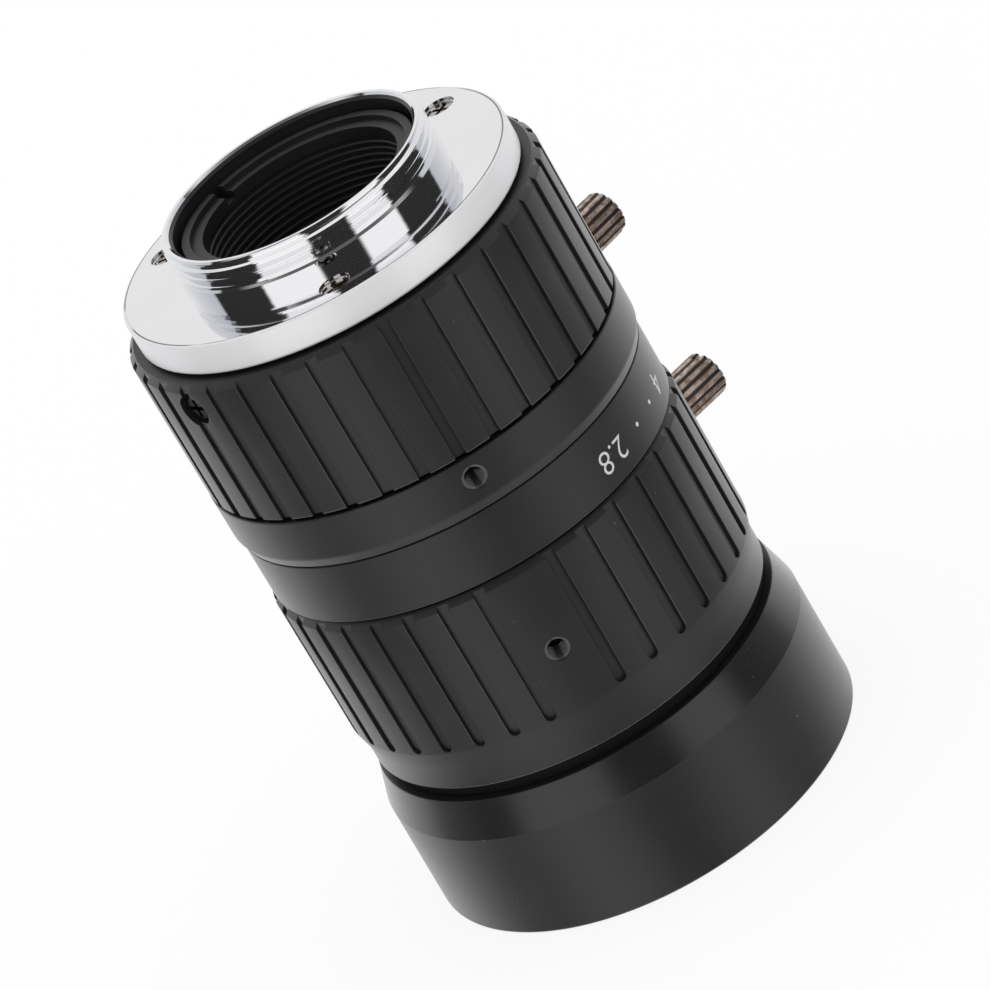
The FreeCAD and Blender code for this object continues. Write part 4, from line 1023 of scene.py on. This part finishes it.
makeFlange()
makeFlangeScrews()
makeFixedBarrel()
print("mount and fixed barrel made")
makeFocusRing()
makeFocusScrews()
makeApertureRing()
print("grip rings made")
makeMovingBarrel()
makeTube()
makeHood()
makeStopRing()
makeFrontCell()
for node, element in elements.items():
    makeElement(node, element)
print("moving barrel, hood and glass made")
makeLockScrew("focusLockScrew", "focus_lock_screw", "focus_lock", band["radius"],
              barrel["tubeRadius"], band, -35)
makeLockScrew("irisLockScrew", "iris_lock_screw", "aperture_lock", ribs["radius"],
              barrel["coreRadius"], apertureRing, 8)
makeMarks()
print("lock screws and marks made")

# the CAD pieces that stay get the finish of their slot
slots = {part["node"]: part["material_slot"] for part in frame["record"]["subparts"]}
for node, piece in frame["nodes"].items():
    if not piece.hide_render:
        piece.data.materials.clear()
        piece.data.materials.append(finishes[slots[node]])
print("kept nodes dressed:", sum(not piece.hide_render for piece in frame["nodes"].values()))

# azimuths in degrees round the lens, from -180 to 180
studio = {"dark": 0.03, "box": 1.05, "boxes": ((-153, -105), (-67, -31)), "back": 0.86,
          "tint": (0.55, 0.575, 0.61), "white": (20, 157), "fade": 45, "soft": 1.2, "waver": 0.045,
          "ceiling": 0.9, "front": 0.12, "floorSize": 4.0, "floorDrop": 0.02, "shadow": 0.16}


# dark sheets and softboxes round the lens as it mirrors them; plain white to everything else
def makeWorld():
    world = bpy.data.worlds.new("studio")
    bpy.context.scene.world = world
    world.use_nodes = True
    world.cycles.sampling_method = "NONE"
    s = NodeSheet(world.node_tree)
    s.tree.nodes.clear()
    x, y, z = s.split(s.place("Generated"))
    shake = s.noise(s.scaled(s.place("Generated"), (0.6, 0.6, 16)), 1, 2) - 0.5
    azimuth = s.maths("ARCTAN2", y, x) / (2 * math.pi) + 0.5 + shake * studio["waver"]
    dark, box, back, front, ceiling = ((studio[k],) * 3 for k in ("dark", "box", "back", "front", "ceiling"))
    tint, soft, fade = studio["tint"], studio["soft"], studio["fade"]
    stops = [(-180, dark)]
    for low, high in studio["boxes"]:
        stops += [(low - soft, dark), (low + soft, box), (high - soft, box), (high + soft, dark)]
    low, high = studio["white"]
    stops += [(low - soft, dark), (low + soft, tint), (low + fade, back), (high - fade, back),
              (high - soft, tint), (high + soft, dark)]
    ring = s.node("ShaderNodeValToRGB", {"stops": [((a + 180) / 360, c) for a, c in stops]}, {"Fac": azimuth})
    overhead = s.mixed(s.ramp(y, -0.35, 0.15), front, ceiling)
    mirrored = s.mixed(s.ramp(z, 0.62, 0.8), ring, overhead)
    glossy = s.node("ShaderNodeLightPath", output="Is Glossy Ray")
    background = s.node("ShaderNodeBackground", values={
        "Color": s.mixed(glossy, (1, 1, 1), mirrored), "Strength": 1.0})
    s.node("ShaderNodeOutputWorld", values={"Surface": background}, output=None)


# white table that keeps the lens's shadow and is clear from below
def makeFloor():
    half = studio["floorSize"] / 2 / mm
    level = -studio["floorDrop"]
    corners = [(-half, -half, level), (half, -half, level), (half, half, level), (-half, half, level)]
    floor = newPiece("floor", corners, [(0, 1, 2, 3)])
    material = bpy.data.materials.new("whiteTable")
    material.use_nodes = True
    f = NodeSheet(material.node_tree)
    f.tree.nodes.clear()
    white = {"Color": (1, 1, 1, 1)}
    plain = f.node("ShaderNodeEmission", values={**white, "Strength": 1.0})
    matt = f.node("ShaderNodeBsdfDiffuse", values=white)
    both = f.node("ShaderNodeMixShader", values={0: studio["shadow"], 1: plain, 2: matt})
    below = f.node("ShaderNodeNewGeometry", output="Backfacing")
    clear = f.node("ShaderNodeBsdfTransparent", values=white)
    seen = f.node("ShaderNodeMixShader", values={0: below, 1: both, 2: clear})
    f.node("ShaderNodeOutputMaterial", values={"Surface": seen}, output=None)
    floor.data.materials.append(material)
    floor.visible_glossy = False


# the photograph's view: long lens, looking down on the mount side
shot = {"lens": 226.6, "sensor": 36.0, "place": (0.0, -0.494454, 0.202856),
        "turn": (64.6204544, -0.13808899, -30.4561882), "clip": (0.01, 20)}


def makeCamera():
    data = bpy.data.cameras.new("camera")
    data.lens, data.sensor_width = shot["lens"], shot["sensor"]
    data.clip_start, data.clip_end = shot["clip"]
    camera = shown("camera", data)
    x, y, z = (Matrix.Rotation(math.radians(a), 4, axis) for a, axis in zip(shot["turn"], "XYZ"))
    place = Vector(shot["place"]) + Vector((0, 0, seat * mm))
    camera.matrix_world = Matrix.Translation(place) @ (x @ y @ z)
    bpy.context.scene.camera = camera


makeWorld()
makeFloor()
makeCamera()
bpy.context.scene.view_settings.view_transform = "Standard"
bpy.context.view_layer.update()
print("studio made")
